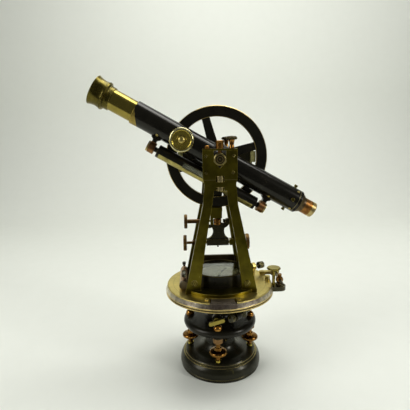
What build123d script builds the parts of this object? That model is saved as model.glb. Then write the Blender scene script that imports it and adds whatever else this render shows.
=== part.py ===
"""Four-screw transit theodolite, all sizes in millimetres.

Z is the vertical axis, with zero on the underside of the lower parallel plate.
The telescope's transverse axis lies along Y, and the front is the -Y side.
"""
import os
from math import asin, atan2, cos, degrees, hypot, pi, radians, sin, tan

from build123d import *

os.makedirs("parts", exist_ok=True)

# Levelling head
base_radius = 52.7
base_flange_radius = 53.5
track_height = 20.3
track_inner_radius = 34.5
tripod_thread_radius = 31.0
tripod_thread_depth = 8.5
hub_radius = 21.5
hub_top = 30.5
neck_hole_radius = 10.6
ball_height = 16.0
ball_radius = 15.0
seat_thickness = 2.4
neck_radius = 8.0
upper_plate_radius = 48.0
upper_plate_bottom = 54.6
upper_plate_top = 65.4
boss_radius = 15.5

# Levelling screws
screw_circle = 40.0
screw_bearing = -7.4
screw_radius = 3.0
shank_radius = 3.4
screw_head_radius = 10.9
screw_head_bottom = 32.2
screw_head_thickness = 5.0
screw_tip_radius = 2.4
screw_cap_radius = 5.6
screw_cap_height = 6.2
foot_radius = 4.0
foot_height = 3.6
foot_lift = 0.45

# Horizontal circle, vernier plate and compass
limb_radius = 70.0
limb_bottom = 101.3
limb_height = 9.3
limb_hub_bottom = limb_bottom - 4.9
web_top = limb_bottom + 5.1
boss_top = limb_hub_bottom - 1.4
limb_top = limb_bottom + limb_height
rim_bevel = 1.8
plate_radius = limb_radius - rim_bevel
plate_gap = 0.35
plate_edge_thickness = 1.15
plate_top = limb_top + plate_gap + plate_edge_thickness
flange_radius = limb_radius - 17.0
window_half_width = 16.0
window_inner = flange_radius + 0.5
compass_radius = 34.0
compass_height = 19.2
compass_top = plate_top + compass_height

# Standards
trunnion_height = 274.3
standard_face = 38.0
standard_inner_face = 30.0
standard_middle = (standard_face + standard_inner_face) / 2
head_half_width = 20.0
head_bottom = trunnion_height - 22.8
head_top = trunnion_height + 10.2
standard_foot_top = plate_top + 3.9
standard_foot_half_width = 43.6
cap_thickness = 2.0

# Telescope and its transverse axis
telescope_tilt = 29.7
journal_radius = 7.2
axle_radius = 8.5
circle_seat_radius = 9.5
tube_radius = 14.6
tube_bore = 13.6
tube_front = -115.5
draw_radius = 13.1
draw_bore = 11.9
draw_front = -150.0
draw_back = -12.0
eyepiece_radius = 9.8
reticle_station = 104.8

# Focusing gear
focus_station = -49.4
focus_offset = -2.0
tooth_module = 0.7
pinion_teeth = 10
pinion_near = 9.6
pinion_far = 13.4
shaft_radius = 1.75

# Vertical circle and the frame that carries its verniers
circle_radius = 65.6
circle_inner_radius = 51.7
circle_face = 18.6
circle_thickness = 4.0
frame_face = 25.6
frame_back = 29.0
slow_motion_y = 26.3
slow_motion_drop = 20.3
slow_motion_height = trunnion_height - circle_radius - slow_motion_drop
clip_drop = 29.9
clip_height = slow_motion_height - clip_drop

# Hanging level
level_offset = -27.8
level_radius = 8.1
level_bore = 6.6
level_half_length = 69.5
post_station = 78.2

# Fits: radial clearance of a turning fit, and of a thread that also swings a little
running = 0.05
swinging = 0.25

tilt = radians(telescope_tilt)
telescope_plane = Plane(
    origin=(0, 0, trunnion_height),
    x_dir=(cos(tilt), 0, -sin(tilt)),
    z_dir=(0, -1, 0),
)
telescope_axis = Axis((0, 0, trunnion_height), (cos(tilt), 0, -sin(tilt)))
trunnion_plane = Plane(origin=(0, 0, trunnion_height), x_dir=(0, 1, 0), z_dir=(1, 0, 0))
trunnion_axis = Axis((0, 0, trunnion_height), (0, 1, 0))


def section(steps, plane):
    """Closed outline on a plane: each step is a corner, or an arc as (middle, end)."""
    with BuildSketch(plane) as drawing:
        with BuildLine():
            last = steps[0]
            for step in steps[1:]:
                if isinstance(step[0], tuple):
                    ThreePointArc(last, *step)
                    last = step[1]
                else:
                    Line(last, step)
                    last = step
            if last != steps[0]:
                Line(last, steps[0])
        make_face()
    return drawing.sketch


def turn(steps, plane=Plane.XZ, axis=Axis.Z, mode=Mode.ADD, arc=360.0):
    """Lathe work: an outline spun about an axis."""
    revolve(section(steps, plane), axis=axis, revolution_arc=arc, mode=mode)


def turn_at(x, y, steps, mode=Mode.ADD):
    """Lathe work about an upright axis through a point of the plan."""
    plane = Plane(origin=(x, y, 0), x_dir=(1, 0, 0), z_dir=(0, -1, 0))
    revolve(section(steps, plane), axis=Axis((x, y, 0), (0, 0, 1)), mode=mode)


def rod(plane, radius, start, end, mode=Mode.ADD):
    """Round bar along a plane's normal, between two distances from the plane."""
    with BuildSketch(plane.offset(start)) as face:
        Circle(radius)
    extrude(face.sketch, amount=end - start, mode=mode)


def slab(steps, plane, start, end, mode=Mode.ADD):
    """Flat plate cut to an outline, between two distances from the plane."""
    extrude(section(steps, plane.offset(start)), amount=end - start, mode=mode)


def block(x, y, z, mode=Mode.ADD):
    """Square block given by its limits along X, Y and Z."""
    with Locations(((x[0] + x[1]) / 2, (y[0] + y[1]) / 2, (z[0] + z[1]) / 2)):
        Box(x[1] - x[0], y[1] - y[0], z[1] - z[0], mode=mode)


def save(part, name):
    part.part.label = name
    export_step(part.part, f"parts/{name}.step")


def polar(radius, bearing):
    return radius * cos(radians(bearing)), radius * sin(radians(bearing))


def upright(x, y):
    return Plane(origin=(x, y, 0), z_dir=(0, 0, 1))


def lengthwise(y, z):
    """Plane whose normal is +X."""
    return Plane(origin=(0, y, z), z_dir=(1, 0, 0))


def on_tube(station, offset):
    """Point in the telescope's upright plane: station towards the eye, offset above the axis."""
    x = station * cos(tilt) + offset * sin(tilt)
    z = trunnion_height - station * sin(tilt) + offset * cos(tilt)
    return x, 0, z


def along_tube(offset):
    return Plane(origin=on_tube(0, offset), z_dir=(cos(tilt), 0, -sin(tilt)))


def both_sides(outline):
    """Right-hand outline joined to its mirror image in one loop."""
    return outline + [(-x, z) for x, z in reversed(outline)]


# Lower parallel plate: flared foot, two fine steps, a track for the screws and a socket
socket_radius = ball_radius + running + seat_thickness + running
with BuildPart() as lower_parallel_plate:
    turn(
        [
            (tripod_thread_radius, 0),
            (base_radius, 0),
            (base_radius, 2.6),
            (base_radius - 0.6, 3.2),
            (base_flange_radius, 4.2),
            ((52.7, 11.0), (49.2, 16.6)),
            (48.2, 16.6),
            (48.2, 17.9),
            (47.4, 17.9),
            (47.4, 19.2),
            (46.6, 19.2),
            (45.8, track_height),
            (track_inner_radius, track_height),
            ((27.5, 22.6), (hub_radius, 28.6)),
            (hub_radius - 1.9, hub_top),
            (neck_hole_radius, hub_top),
            (neck_hole_radius, 22.0),
            (socket_radius, 22.0),
            (socket_radius, 10.0),
            (hub_radius + 4.0, 10.0),
            (tripod_thread_radius, tripod_thread_depth),
        ]
    )
    with Locations((0, 0, ball_height)):
        Sphere(socket_radius, mode=Mode.SUBTRACT)
save(lower_parallel_plate, "lower_parallel_plate")

# Loose spherical washer between the half ball and its socket
washer_low = 30.0
washer_high = 52.0


def on_sphere(radius, elevation):
    return radius * cos(radians(elevation)), ball_height + radius * sin(radians(elevation))


with BuildPart() as ball_seat_ring:
    inner = ball_radius + running
    outer = inner + seat_thickness
    washer_middle = (washer_low + washer_high) / 2
    turn(
        [
            on_sphere(inner, washer_low),
            on_sphere(outer, washer_low),
            (on_sphere(outer, washer_middle), on_sphere(outer, washer_high)),
            on_sphere(inner, washer_high),
            (on_sphere(inner, washer_middle), on_sphere(inner, washer_low)),
        ]
    )
save(ball_seat_ring, "ball_seat_ring")

# Half ball screwed to the lower end of the neck
spigot_radius = 6.0
ball_bottom = ball_height - 7.5
ball_top = ball_height + 11.5
with BuildPart() as half_ball:
    with Locations((0, 0, ball_height)):
        Sphere(ball_radius)
    block((-20, 20), (-20, 20), (ball_bottom - 20, ball_bottom), Mode.SUBTRACT)
    block((-20, 20), (-20, 20), (ball_top, ball_top + 20), Mode.SUBTRACT)
    rod(Plane.XY, spigot_radius, ball_height - 3.0, ball_top + 5.0, Mode.SUBTRACT)
save(half_ball, "half_ball")

# Upper parallel plate with its neck below and its tapered socket above
cone_bottom = 62.0
cone_top_radius = 12.4
cone_bottom_radius = 9.8
plate_edge = 5.0
screw_bearings = [screw_bearing + 90.0 * step for step in (-1, 0, 1, 2)]
with BuildPart() as upper_parallel_plate:
    turn(
        [
            (0, ball_height - 2.8),
            (spigot_radius, ball_height - 2.8),
            (spigot_radius, ball_top),
            (neck_radius, ball_top),
            (neck_radius, 44.0),
            ((9.6, 50.4), (16.0, upper_plate_bottom)),
            (upper_plate_radius - plate_edge, upper_plate_bottom),
            (
                (upper_plate_radius, (upper_plate_bottom + upper_plate_top) / 2),
                (upper_plate_radius - plate_edge, upper_plate_top),
            ),
            (22.0, upper_plate_top),
            ((17.4, 67.2), (boss_radius, 71.0)),
            (boss_radius, boss_top),
            (cone_top_radius + running, boss_top),
            (cone_bottom_radius + running, cone_bottom - 0.6),
            (0, cone_bottom - 0.6),
        ]
    )
    for bearing in screw_bearings:
        spot = upright(*polar(screw_circle, bearing))
        rod(spot, 6.4, 48.6, upper_plate_bottom + 1.0)
        rod(spot, screw_radius + running, 40.0, 80.0, Mode.SUBTRACT)
        rod(spot, screw_cap_radius - 1.0, upper_plate_top - 3.0, 80.0, Mode.SUBTRACT)
save(upper_parallel_plate, "upper_parallel_plate")

# Domed dust caps over the upper ends of the levelling screws
with BuildPart() as levelling_screw_caps:
    for bearing in screw_bearings:
        turn_at(
            *polar(screw_circle, bearing),
            [
                (screw_radius + 0.5, upper_plate_top - 3.0),
                (screw_cap_radius - 1.0, upper_plate_top - 3.0),
                (screw_cap_radius - 1.0, upper_plate_top),
                (screw_cap_radius, upper_plate_top),
                (screw_cap_radius, upper_plate_top + 1.2),
                ((4.2, upper_plate_top + 4.6), (1.0, upper_plate_top + screw_cap_height)),
                (0, upper_plate_top + screw_cap_height),
                (0, upper_plate_top + screw_cap_height - 1.2),
                (screw_radius + 0.5, upper_plate_top + 3.2),
            ],
        )
save(levelling_screw_caps, "levelling_screw_caps")

# Levelling screws and the loose feet that they turn in
foot_bottom = track_height + foot_lift
tip_bottom = foot_bottom + 1.2
screw_head_top = screw_head_bottom + screw_head_thickness
milled_edge = screw_head_radius - 2.2
for number, bearing in enumerate(screw_bearings, start=1):
    x, y = polar(screw_circle, bearing)
    with BuildPart() as levelling_foot:
        turn_at(
            x,
            y,
            [
                (0, foot_bottom),
                (foot_radius - 1.4, foot_bottom),
                (foot_radius, foot_bottom + 1.0),
                (foot_radius - 0.2, foot_bottom + foot_height),
                (screw_tip_radius + running, foot_bottom + foot_height),
                (screw_tip_radius + running, tip_bottom - 0.1),
                (0, tip_bottom - 0.1),
            ],
        )
    save(levelling_foot, f"levelling_foot_{number}")
    with BuildPart() as levelling_screw:
        turn_at(
            x,
            y,
            [
                (0, tip_bottom),
                (screw_tip_radius - 0.6, tip_bottom),
                (screw_tip_radius, tip_bottom + 0.6),
                (screw_tip_radius, foot_bottom + foot_height + 0.4),
                (shank_radius, foot_bottom + foot_height + 1.0),
                (shank_radius, screw_head_bottom - 1.0),
                (milled_edge - 2.3, screw_head_bottom - 1.0),
                (milled_edge, screw_head_bottom),
                (
                    (screw_head_radius, (screw_head_bottom + screw_head_top) / 2),
                    (milled_edge, screw_head_top),
                ),
                (4.8, screw_head_top + 1.2),
                (4.2, screw_head_top + 4.2),
                (screw_radius, screw_head_top + 5.0),
                (screw_radius, upper_plate_top + 0.4),
                (screw_radius - 0.6, upper_plate_top + 1.0),
                (0, upper_plate_top + 1.0),
            ],
        )
    save(levelling_screw, f"levelling_screw_{number}")

# Lower clamp: collar round the boss, an arm for the clamp screw and one for the slow motion
collar_radius = 20.6
clamp_bearing = -98.0
clamp_height = 78.8
clamp_arm_end = 41.0
clamp_screw_radius = 2.4
tangent_bearing = -50.0
tangent_circle = 44.0
tangent_height = 84.0
tangent_screw_radius = 2.0
tangent_ear = 13.0
clamp_plane = Plane(
    origin=(0, 0, clamp_height),
    x_dir=(-sin(radians(clamp_bearing)), cos(radians(clamp_bearing)), 0),
    z_dir=(cos(radians(clamp_bearing)), sin(radians(clamp_bearing)), 0),
)
tangent_plane = Plane(
    origin=(*polar(tangent_circle, tangent_bearing), tangent_height),
    z_dir=(sin(radians(tangent_bearing)), -cos(radians(tangent_bearing)), 0),
)
ear_bearing = tangent_bearing - degrees(atan2(tangent_ear, tangent_circle))
ear_circle = hypot(tangent_ear, tangent_circle)
with BuildPart() as lower_clamp_collar:
    turn(
        [
            (boss_radius + running, 72.4),
            (collar_radius - 1.0, 72.4),
            (collar_radius, 73.4),
            (collar_radius, 84.0),
            (collar_radius - 1.0, 85.0),
            (boss_radius + running, 85.0),
        ]
    )
    rod(clamp_plane, 5.4, 18.0, clamp_arm_end)
    rod(clamp_plane, 6.4, clamp_arm_end - 6.0, clamp_arm_end)
    with BuildSketch(Plane.XY.offset(78.0)) as arm:
        with Locations(Location((0, 0, 0), (0, 0, ear_bearing))):
            with Locations(((collar_radius + ear_circle) / 2 - 2.0, 0)):
                Rectangle(ear_circle - collar_radius + 4.0, 6.0)
    extrude(arm.sketch, amount=7.0)
    rod(tangent_plane, 5.2, tangent_ear - 4.0, tangent_ear + 4.0)
    rod(clamp_plane, clamp_screw_radius + running, 14.0, clamp_arm_end + 5.0, Mode.SUBTRACT)
    rod(tangent_plane, tangent_screw_radius + running, 5.0, 20.0, Mode.SUBTRACT)
    rod(Plane.XY, boss_radius + running, 60.0, 90.0, Mode.SUBTRACT)
save(lower_clamp_collar, "lower_clamp_collar")

# Wing screw of the lower clamp
wing_length = 20.5
wing_lean = 20.0
wing_start = 46.2
with BuildPart() as lower_clamp_screw:
    rod(clamp_plane, clamp_screw_radius, boss_radius + 0.4, wing_start + 2.0)
    rod(clamp_plane, 4.2, clamp_arm_end + 0.4, wing_start)
    with BuildSketch(clamp_plane.offset(wing_start)) as wing:
        with Locations(Location((0, 0, 0), (0, 0, wing_lean))):
            SlotOverall(wing_length, 4.6)
    extrude(wing.sketch, amount=3.2)
save(lower_clamp_screw, "lower_clamp_screw")

# Slow-motion screw of the lower plate, held in the collar and threaded through the limb's post
with BuildPart() as lower_tangent_screw:
    rod(tangent_plane, tangent_screw_radius, -9.0, 22.0)
    rod(tangent_plane, 3.2, tangent_ear + 4.2, 20.0)
    rod(tangent_plane, 3.2, tangent_ear - 6.4, tangent_ear - 4.2)
    rod(tangent_plane, 5.0, 19.5, 24.5)
save(lower_tangent_screw, "lower_tangent_screw")

# Horizontal circle with a bevelled silvered edge, and the post for the slow motion under it
limb_hub_radius = 13.0
with BuildPart() as horizontal_limb:
    turn(
        [
            (limb_hub_radius, limb_hub_bottom),
            (24.0, limb_hub_bottom),
            (24.0, limb_bottom + 0.5),
            (limb_radius - 14.0, limb_bottom + 2.1),
            (limb_radius - 12.0, limb_bottom),
            (limb_radius, limb_bottom),
            (limb_radius, limb_bottom + 1.1),
            (limb_radius - 0.9, limb_bottom + 1.3),
            (limb_radius - 0.9, limb_bottom + 2.7),
            (limb_radius, limb_bottom + 2.9),
            (limb_radius, limb_bottom + 4.3),
            (limb_radius - 0.3, limb_bottom + 4.5),
            (plate_radius, limb_top),
            (plate_radius - 6.2, limb_top),
            (plate_radius - 7.2, web_top),
            (limb_hub_radius, web_top),
        ]
    )
    rod(
        upright(*polar(tangent_circle, tangent_bearing)),
        3.6,
        tangent_height - 4.5,
        limb_bottom + 2.7,
    )
    rod(tangent_plane, tangent_screw_radius + swinging, -8.0, 8.0, Mode.SUBTRACT)
save(horizontal_limb, "horizontal_limb")

# Hollow outer axis, tapered outside and inside
spindle_top_radius = 8.0
spindle_bottom_radius = 6.2
with BuildPart() as outer_axis:
    turn(
        [
            (spindle_bottom_radius + running, cone_bottom),
            (cone_bottom_radius, cone_bottom),
            (cone_top_radius, boss_top),
            (cone_top_radius, limb_hub_bottom),
            (limb_hub_radius, limb_hub_bottom),
            (limb_hub_radius, web_top),
            (spindle_top_radius + running, web_top),
        ]
    )
save(outer_axis, "outer_axis")

# Vernier plate: two windows, the arm of the upper slow motion and the lifter's pillar
lifter_bearing = 24.5
lifter_circle = compass_radius + 19.0
lifter_height = plate_top + 11.4
lifter_screw_radius = 1.6
lifter_plane = Plane(
    origin=(0, 0, lifter_height),
    z_dir=(cos(radians(lifter_bearing)), sin(radians(lifter_bearing)), 0),
)
upper_tangent_x = limb_radius + 10.3
upper_tangent_height = plate_top + 0.1
upper_tangent_radius = 1.9
upper_tangent_plane = Plane(
    origin=(upper_tangent_x, 0, upper_tangent_height), z_dir=(0, 1, 0)
)
arm_near = 22.0
arm_far = 28.0
plate_bottom = limb_top + plate_gap
disc_bottom = web_top + 0.4
disc_radius = plate_radius - 7.8
plate_stem_radius = 7.0
with BuildPart() as vernier_plate:
    turn(
        [
            (plate_stem_radius, disc_bottom),
            (disc_radius, disc_bottom),
            (disc_radius + 1.0, plate_bottom),
            (plate_radius, plate_bottom),
            (plate_radius, plate_top - 0.4),
            (plate_radius - 0.4, plate_top),
            (plate_stem_radius, plate_top),
        ]
    )
    for side in (-1, 1):
        middle = side * (window_inner + 10.0)
        block(
            (-window_half_width, window_half_width),
            (middle - 10.0, middle + 10.0),
            (disc_bottom - 6.8, plate_top + 7.9),
            Mode.SUBTRACT,
        )
    block(
        (limb_radius - 12.0, upper_tangent_x + 4.0),
        (arm_near, arm_far),
        (plate_top - 0.8, plate_top + 3.3),
    )
    rod(upper_tangent_plane, 4.1, arm_near, arm_far)
    rod(upper_tangent_plane, upper_tangent_radius + running, 15.0, 35.0, Mode.SUBTRACT)
    rod(upright(plate_radius - 3.6, 2.0), 3.2, plate_top - 0.5, plate_top + 5.1)
    rod(upright(*polar(lifter_circle, lifter_bearing)), 2.6, plate_top - 0.5, lifter_height)
    rod(lifter_plane, 5.2, lifter_circle - 2.6, lifter_circle + 2.6)
    rod(
        lifter_plane,
        lifter_screw_radius + running,
        lifter_circle - 13.0,
        lifter_circle + 7.0,
        Mode.SUBTRACT,
    )
save(vernier_plate, "vernier_plate")

# Inner axis, the spindle that carries the vernier plate
with BuildPart() as inner_axis:
    turn(
        [
            (0, cone_bottom + 0.4),
            (spindle_bottom_radius, cone_bottom + 0.4),
            (spindle_top_radius, web_top),
            (spindle_top_radius, disc_bottom),
            (plate_stem_radius, disc_bottom),
            (plate_stem_radius, plate_top),
            (0, plate_top),
        ]
    )
save(inner_axis, "inner_axis")

# Two silvered vernier segments that fill the windows
vernier_half_angle = degrees(asin((window_half_width - 0.6) / plate_radius))
vernier_inner = window_inner + 3.5
with BuildPart() as plate_verniers:
    for side in (-1, 1):
        start = side * 90.0 - vernier_half_angle
        plane = Plane.XZ.rotated((0, 0, start))
        turn(
            [
                (vernier_inner, disc_bottom),
                (disc_radius, disc_bottom),
                (disc_radius + 1.0, plate_bottom),
                (plate_radius, plate_bottom),
                (plate_radius, plate_bottom + 0.3),
                (disc_radius + 0.2, plate_top - 0.5),
                (vernier_inner, plate_top - 0.5),
            ],
            plane,
            arc=2 * vernier_half_angle,
        )
        face = side * (window_inner + 2.8)
        block(
            (2.4 - window_half_width, window_half_width - 2.4),
            (face - 2.8, face + 2.8),
            (disc_bottom, plate_top - 0.5),
        )
save(plate_verniers, "plate_verniers")

# Upper clamp: jaw under the rim, bracket outside it and a post for the ball nut
stem_x = limb_radius + 2.4
stem_radius = 2.0
bracket_top = limb_bottom + 3.3
bracket_bottom = limb_bottom - 2.4
ball_nut_radius = 5.0
ball_post_radius = 2.6
with BuildPart() as upper_clamp:
    slab(
        [
            (limb_radius - 9.0, -7.0),
            (limb_radius + 0.5, -8.5),
            (limb_radius + 10.0, -8.5),
            ((limb_radius + 16.0, -6.0), (limb_radius + 18.3, 0)),
            ((limb_radius + 16.0, 6.0), (limb_radius + 10.0, 8.5)),
            (limb_radius + 0.5, 8.5),
            (limb_radius - 9.0, 7.0),
        ],
        Plane.XY,
        bracket_bottom,
        bracket_top,
    )
    rod(Plane.XY, limb_radius + 0.35, limb_bottom - 0.35, plate_top + 7.9, Mode.SUBTRACT)
    rod(upright(upper_tangent_x, 0), 5.2, bracket_top - 1.0, bracket_top + 2.2)
    rod(
        upright(upper_tangent_x, 0),
        ball_post_radius,
        bracket_bottom + 1.1,
        bracket_top + 15.4,
        Mode.SUBTRACT,
    )
    rod(
        upright(stem_x, 0),
        stem_radius + running,
        bracket_bottom - 8.9,
        bracket_top + 15.4,
        Mode.SUBTRACT,
    )
save(upper_clamp, "upper_clamp")

# Clamp screw with its flat milled head
clamp_head_radius = 8.8
clamp_head_bottom = plate_top + 14.5
with BuildPart() as upper_clamp_screw:
    turn_at(
        stem_x,
        0,
        [
            (0, bracket_bottom - 2.1),
            (stem_radius, bracket_bottom - 2.1),
            (stem_radius, clamp_head_bottom - 3.8),
            ((3.0, clamp_head_bottom - 1.0), (5.0, clamp_head_bottom)),
            (clamp_head_radius - 0.8, clamp_head_bottom),
            (clamp_head_radius, clamp_head_bottom + 0.8),
            (clamp_head_radius, clamp_head_bottom + 2.1),
            (clamp_head_radius - 0.8, clamp_head_bottom + 2.9),
            (0, clamp_head_bottom + 2.9),
        ],
    )
save(upper_clamp_screw, "upper_clamp_screw")

# Ball nut of the upper slow motion, on its pin, with a cap nut above
with BuildPart() as tangent_ball_nut:
    with Locations((upper_tangent_x, 0, upper_tangent_height)):
        Sphere(ball_nut_radius)
    rod(
        upright(upper_tangent_x, 0),
        ball_post_radius,
        bracket_bottom + 1.5,
        upper_tangent_height - 3.6,
    )
    cap_nut = upper_tangent_height + ball_nut_radius
    rod(upright(upper_tangent_x, 0), 1.8, cap_nut - 1.2, cap_nut + 0.8)
    rod(upright(upper_tangent_x, 0), 2.8, cap_nut + 0.2, cap_nut + 2.8)
    rod(upper_tangent_plane, upper_tangent_radius + 0.4, -8.0, 8.0, Mode.SUBTRACT)
save(tangent_ball_nut, "tangent_ball_nut")

# Slow-motion screw of the upper plate, held in the arm and threaded through the ball
with BuildPart() as upper_tangent_screw:
    rod(upper_tangent_plane, upper_tangent_radius, -19.0, 32.0)
    rod(upper_tangent_plane, 3.0, arm_near - 2.4, arm_near - 0.2)
    rod(upper_tangent_plane, 3.2, arm_far + 0.2, 31.0)
    rod(upper_tangent_plane, 7.0, 31.0, 34.6)
save(upper_tangent_screw, "upper_tangent_screw")

# Compass: box with its pivot, silvered ring, needle, glass
glass_thickness = 1.2
compass_bore = 30.4
dial_bottom = plate_top + 2.0
dial_ring_top = plate_top + 9.3
pivot_tip = plate_top + 10.9
glass_bottom = compass_top - 0.4 - glass_thickness
with BuildPart() as compass_box:
    turn(
        [
            (0, plate_top),
            (compass_radius - 0.6, plate_top),
            (compass_radius, plate_top + 0.6),
            (compass_radius, compass_top - 0.8),
            (compass_radius - 0.8, compass_top),
            (compass_bore + 1.4, compass_top),
            (compass_bore + 1.4, glass_bottom),
            (compass_bore, glass_bottom),
            (compass_bore, dial_bottom),
            (1.2, dial_bottom),
            (0.9, pivot_tip - 1.6),
            (0, pivot_tip),
        ]
    )
save(compass_box, "compass_box")

with BuildPart() as compass_dial:
    turn(
        [
            (2.2, dial_bottom),
            (compass_bore, dial_bottom),
            (compass_bore, dial_ring_top),
            (27.2, dial_ring_top),
            (27.2, dial_bottom + 1.0),
            (2.2, dial_bottom + 1.0),
        ]
    )
save(compass_dial, "compass_dial")

with BuildPart() as compass_glass:
    rod(Plane.XY, compass_bore + 1.4, glass_bottom, glass_bottom + glass_thickness)
save(compass_glass, "compass_glass")

needle_bearing = 62.0
needle_half_length = 25.4
with BuildPart() as compass_needle:
    needle_plane = Plane(
        origin=(0, 0, 0),
        x_dir=(*polar(1.0, needle_bearing), 0),
        z_dir=(0, 0, 1),
    )
    slab(
        [
            (needle_half_length, 0),
            (3.0, 1.5),
            (-3.0, 1.5),
            (-needle_half_length, 0),
            (-3.0, -1.5),
            (3.0, -1.5),
        ],
        needle_plane,
        pivot_tip - 1.3,
        pivot_tip - 0.6,
    )
    rod(Plane.XY, 2.4, pivot_tip - 1.6, pivot_tip + 1.6)
    turn(
        [(0, pivot_tip - 2.0), (1.9, pivot_tip - 2.0), (0, pivot_tip + 0.35)],
        mode=Mode.SUBTRACT,
    )
save(compass_needle, "compass_needle")

# Needle lifter: radial screw with a milled head
with BuildPart() as needle_lifter_screw:
    rod(lifter_plane, lifter_screw_radius, compass_radius + 0.3, lifter_circle + 9.5)
    rod(lifter_plane, 2.8, lifter_circle + 2.9, lifter_circle + 4.4)
    rod(lifter_plane, 4.6, lifter_circle + 9.0, lifter_circle + 16.4)
save(needle_lifter_screw, "needle_lifter_screw")

# Standards: A-shaped frames with the V bearings, joined to the plate by a curved foot
foot_outline = 43.5
waist_height = head_bottom - 30.1
waist_half_width = 20.6
neck_height = head_bottom - 5.5
neck_half_width = 18.5
opening_top = head_bottom - 13.0
opening_top_half_width = 7.5
opening_foot = standard_foot_top + 3.0
opening_middle = (standard_foot_top + waist_height) / 2 - 10.7
v_tip = trunnion_height - 10.3
v_half_width = journal_radius + 0.15
nut_radius = 4.7
nut_slot = 4.9
nut_screw_radius = 2.0
lower_nut = (head_bottom - 13.9, head_bottom - 9.1)
upper_nut = (head_bottom - 3.3, head_bottom + 3.9)
cap_hole_bottom = head_top - 14.5
cap_knob_x = 13.8
cap_hinge_x = -14.6
cap_thread_radius = 2.0
cap_screw_radius = 2.4
rail_top = standard_foot_top + 21.0
rail_thickness = 3.6
rail_half_length = 26.0
lug_clearance = 0.05
clip_screw_radius = 1.9


def standard(side, railed):
    """One standard: side is -1 for the front and +1 for the rear."""
    low = -standard_face if side < 0 else standard_inner_face
    slab(
        both_sides(
            [
                (foot_outline, standard_foot_top - 1.0),
                (waist_half_width, waist_height),
                (neck_half_width, neck_height),
                (head_half_width, head_bottom),
                (head_half_width, head_top),
            ]
        ),
        Plane.XZ,
        -low - 8.0,
        -low,
    )
    # opening between the legs
    slab(
        [
            (opening_top_half_width, opening_top),
            (9.65, waist_height),
            ((20.4, opening_middle), (25.3, opening_foot)),
            (24.6, standard_foot_top),
            (24.6, standard_foot_top - 16.0),
            (-24.6, standard_foot_top - 16.0),
            (-24.6, standard_foot_top),
            (-25.3, opening_foot),
            ((-20.4, opening_middle), (-9.65, waist_height)),
            (-opening_top_half_width, opening_top),
        ],
        Plane.XZ,
        -45.0,
        45.0,
        Mode.SUBTRACT,
    )
    # V bearing, open at the top for the cap
    slab(
        [
            (0, v_tip),
            (v_half_width, v_tip + v_half_width),
            (v_half_width, head_top + 1.0),
            (-v_half_width, head_top + 1.0),
            (-v_half_width, v_tip + v_half_width),
        ],
        Plane.XZ,
        -45.0,
        45.0,
        Mode.SUBTRACT,
    )
    # slots for the two nuts that raise and lower the bearing
    for bottom, top in (lower_nut, upper_nut):
        block((-nut_slot, nut_slot), (-45.0, 45.0), (bottom, top), Mode.SUBTRACT)
    middle = low + 4.0
    rod(upright(0, middle), nut_screw_radius, lower_nut[0], upper_nut[1], Mode.SUBTRACT)
    rod(
        upright(cap_knob_x, middle),
        cap_thread_radius + running,
        cap_hole_bottom,
        head_top + 5.5,
        Mode.SUBTRACT,
    )
    rod(upright(cap_hinge_x, middle), 1.6, head_top - 8.5, head_top + 5.5, Mode.SUBTRACT)
    # foot flange, its front edge concentric with the plate, hollowed for the compass
    with BuildSketch(Plane.XY.offset(plate_top)) as flange:
        Circle(flange_radius)
        with Locations((0, -side * (100.0 - standard_inner_face))):
            Rectangle(200.0, 200.0, mode=Mode.SUBTRACT)
        with Locations((0, low + 4.0)):
            Rectangle(2 * standard_foot_half_width, 8.0)
        Circle(compass_radius + 0.4, mode=Mode.SUBTRACT)
    extrude(flange.sketch, amount=standard_foot_top - plate_top)
    if railed:
        block(
            (-rail_half_length, rail_half_length),
            (standard_face - rail_thickness, standard_face),
            (standard_foot_top - 0.5, rail_top),
        )
        for leg in (-1, 1):
            lug = (16.4, 31.0) if leg > 0 else (-31.0, -16.4)
            block(lug, (22.9, standard_inner_face + 2.0), (clip_height - 4.0, clip_height + 4.0))
        rod(
            lengthwise(slow_motion_y, clip_height),
            clip_screw_radius + lug_clearance,
            -60.0,
            60.0,
            Mode.SUBTRACT,
        )


with BuildPart() as front_standard:
    standard(-1, False)
save(front_standard, "front_standard")

with BuildPart() as rear_standard:
    standard(1, True)
save(rear_standard, "rear_standard")

# Caps over the bearings
with BuildPart() as bearing_caps:
    for side in (-1, 1):
        y = side * standard_middle
        block(
            (-head_half_width, head_half_width),
            (y - 4.0, y + 4.0),
            (head_top, head_top + cap_thickness),
        )
        for x, radius in (
            (cap_knob_x, cap_thread_radius + running),
            (0, cap_screw_radius),
            (cap_hinge_x, 1.6),
        ):
            rod(upright(x, y), radius, cap_hole_bottom, head_top + 5.5, Mode.SUBTRACT)
save(bearing_caps, "bearing_caps")

# Milled cap screws, one on each standard
cap_top = head_top + cap_thickness
knob_disc_bottom = cap_top + 10.0
knob_disc_radius = 6.2
for side, name in ((-1, "front_cap_knob"), (1, "rear_cap_knob")):
    with BuildPart() as cap_knob:
        turn_at(
            cap_knob_x,
            side * standard_middle,
            [
                (0, cap_hole_bottom + 2.0),
                (cap_thread_radius, cap_hole_bottom + 2.0),
                (cap_thread_radius, cap_top + 0.1),
                (3.6, cap_top + 0.1),
                ((2.7, cap_top + 5.5), (3.9, knob_disc_bottom)),
                (knob_disc_radius - 0.7, knob_disc_bottom),
                (knob_disc_radius, knob_disc_bottom + 0.7),
                (knob_disc_radius, knob_disc_bottom + 2.6),
                (knob_disc_radius - 1.2, knob_disc_bottom + 3.8),
                (0, knob_disc_bottom + 4.4),
            ],
        )
    save(cap_knob, name)

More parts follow.
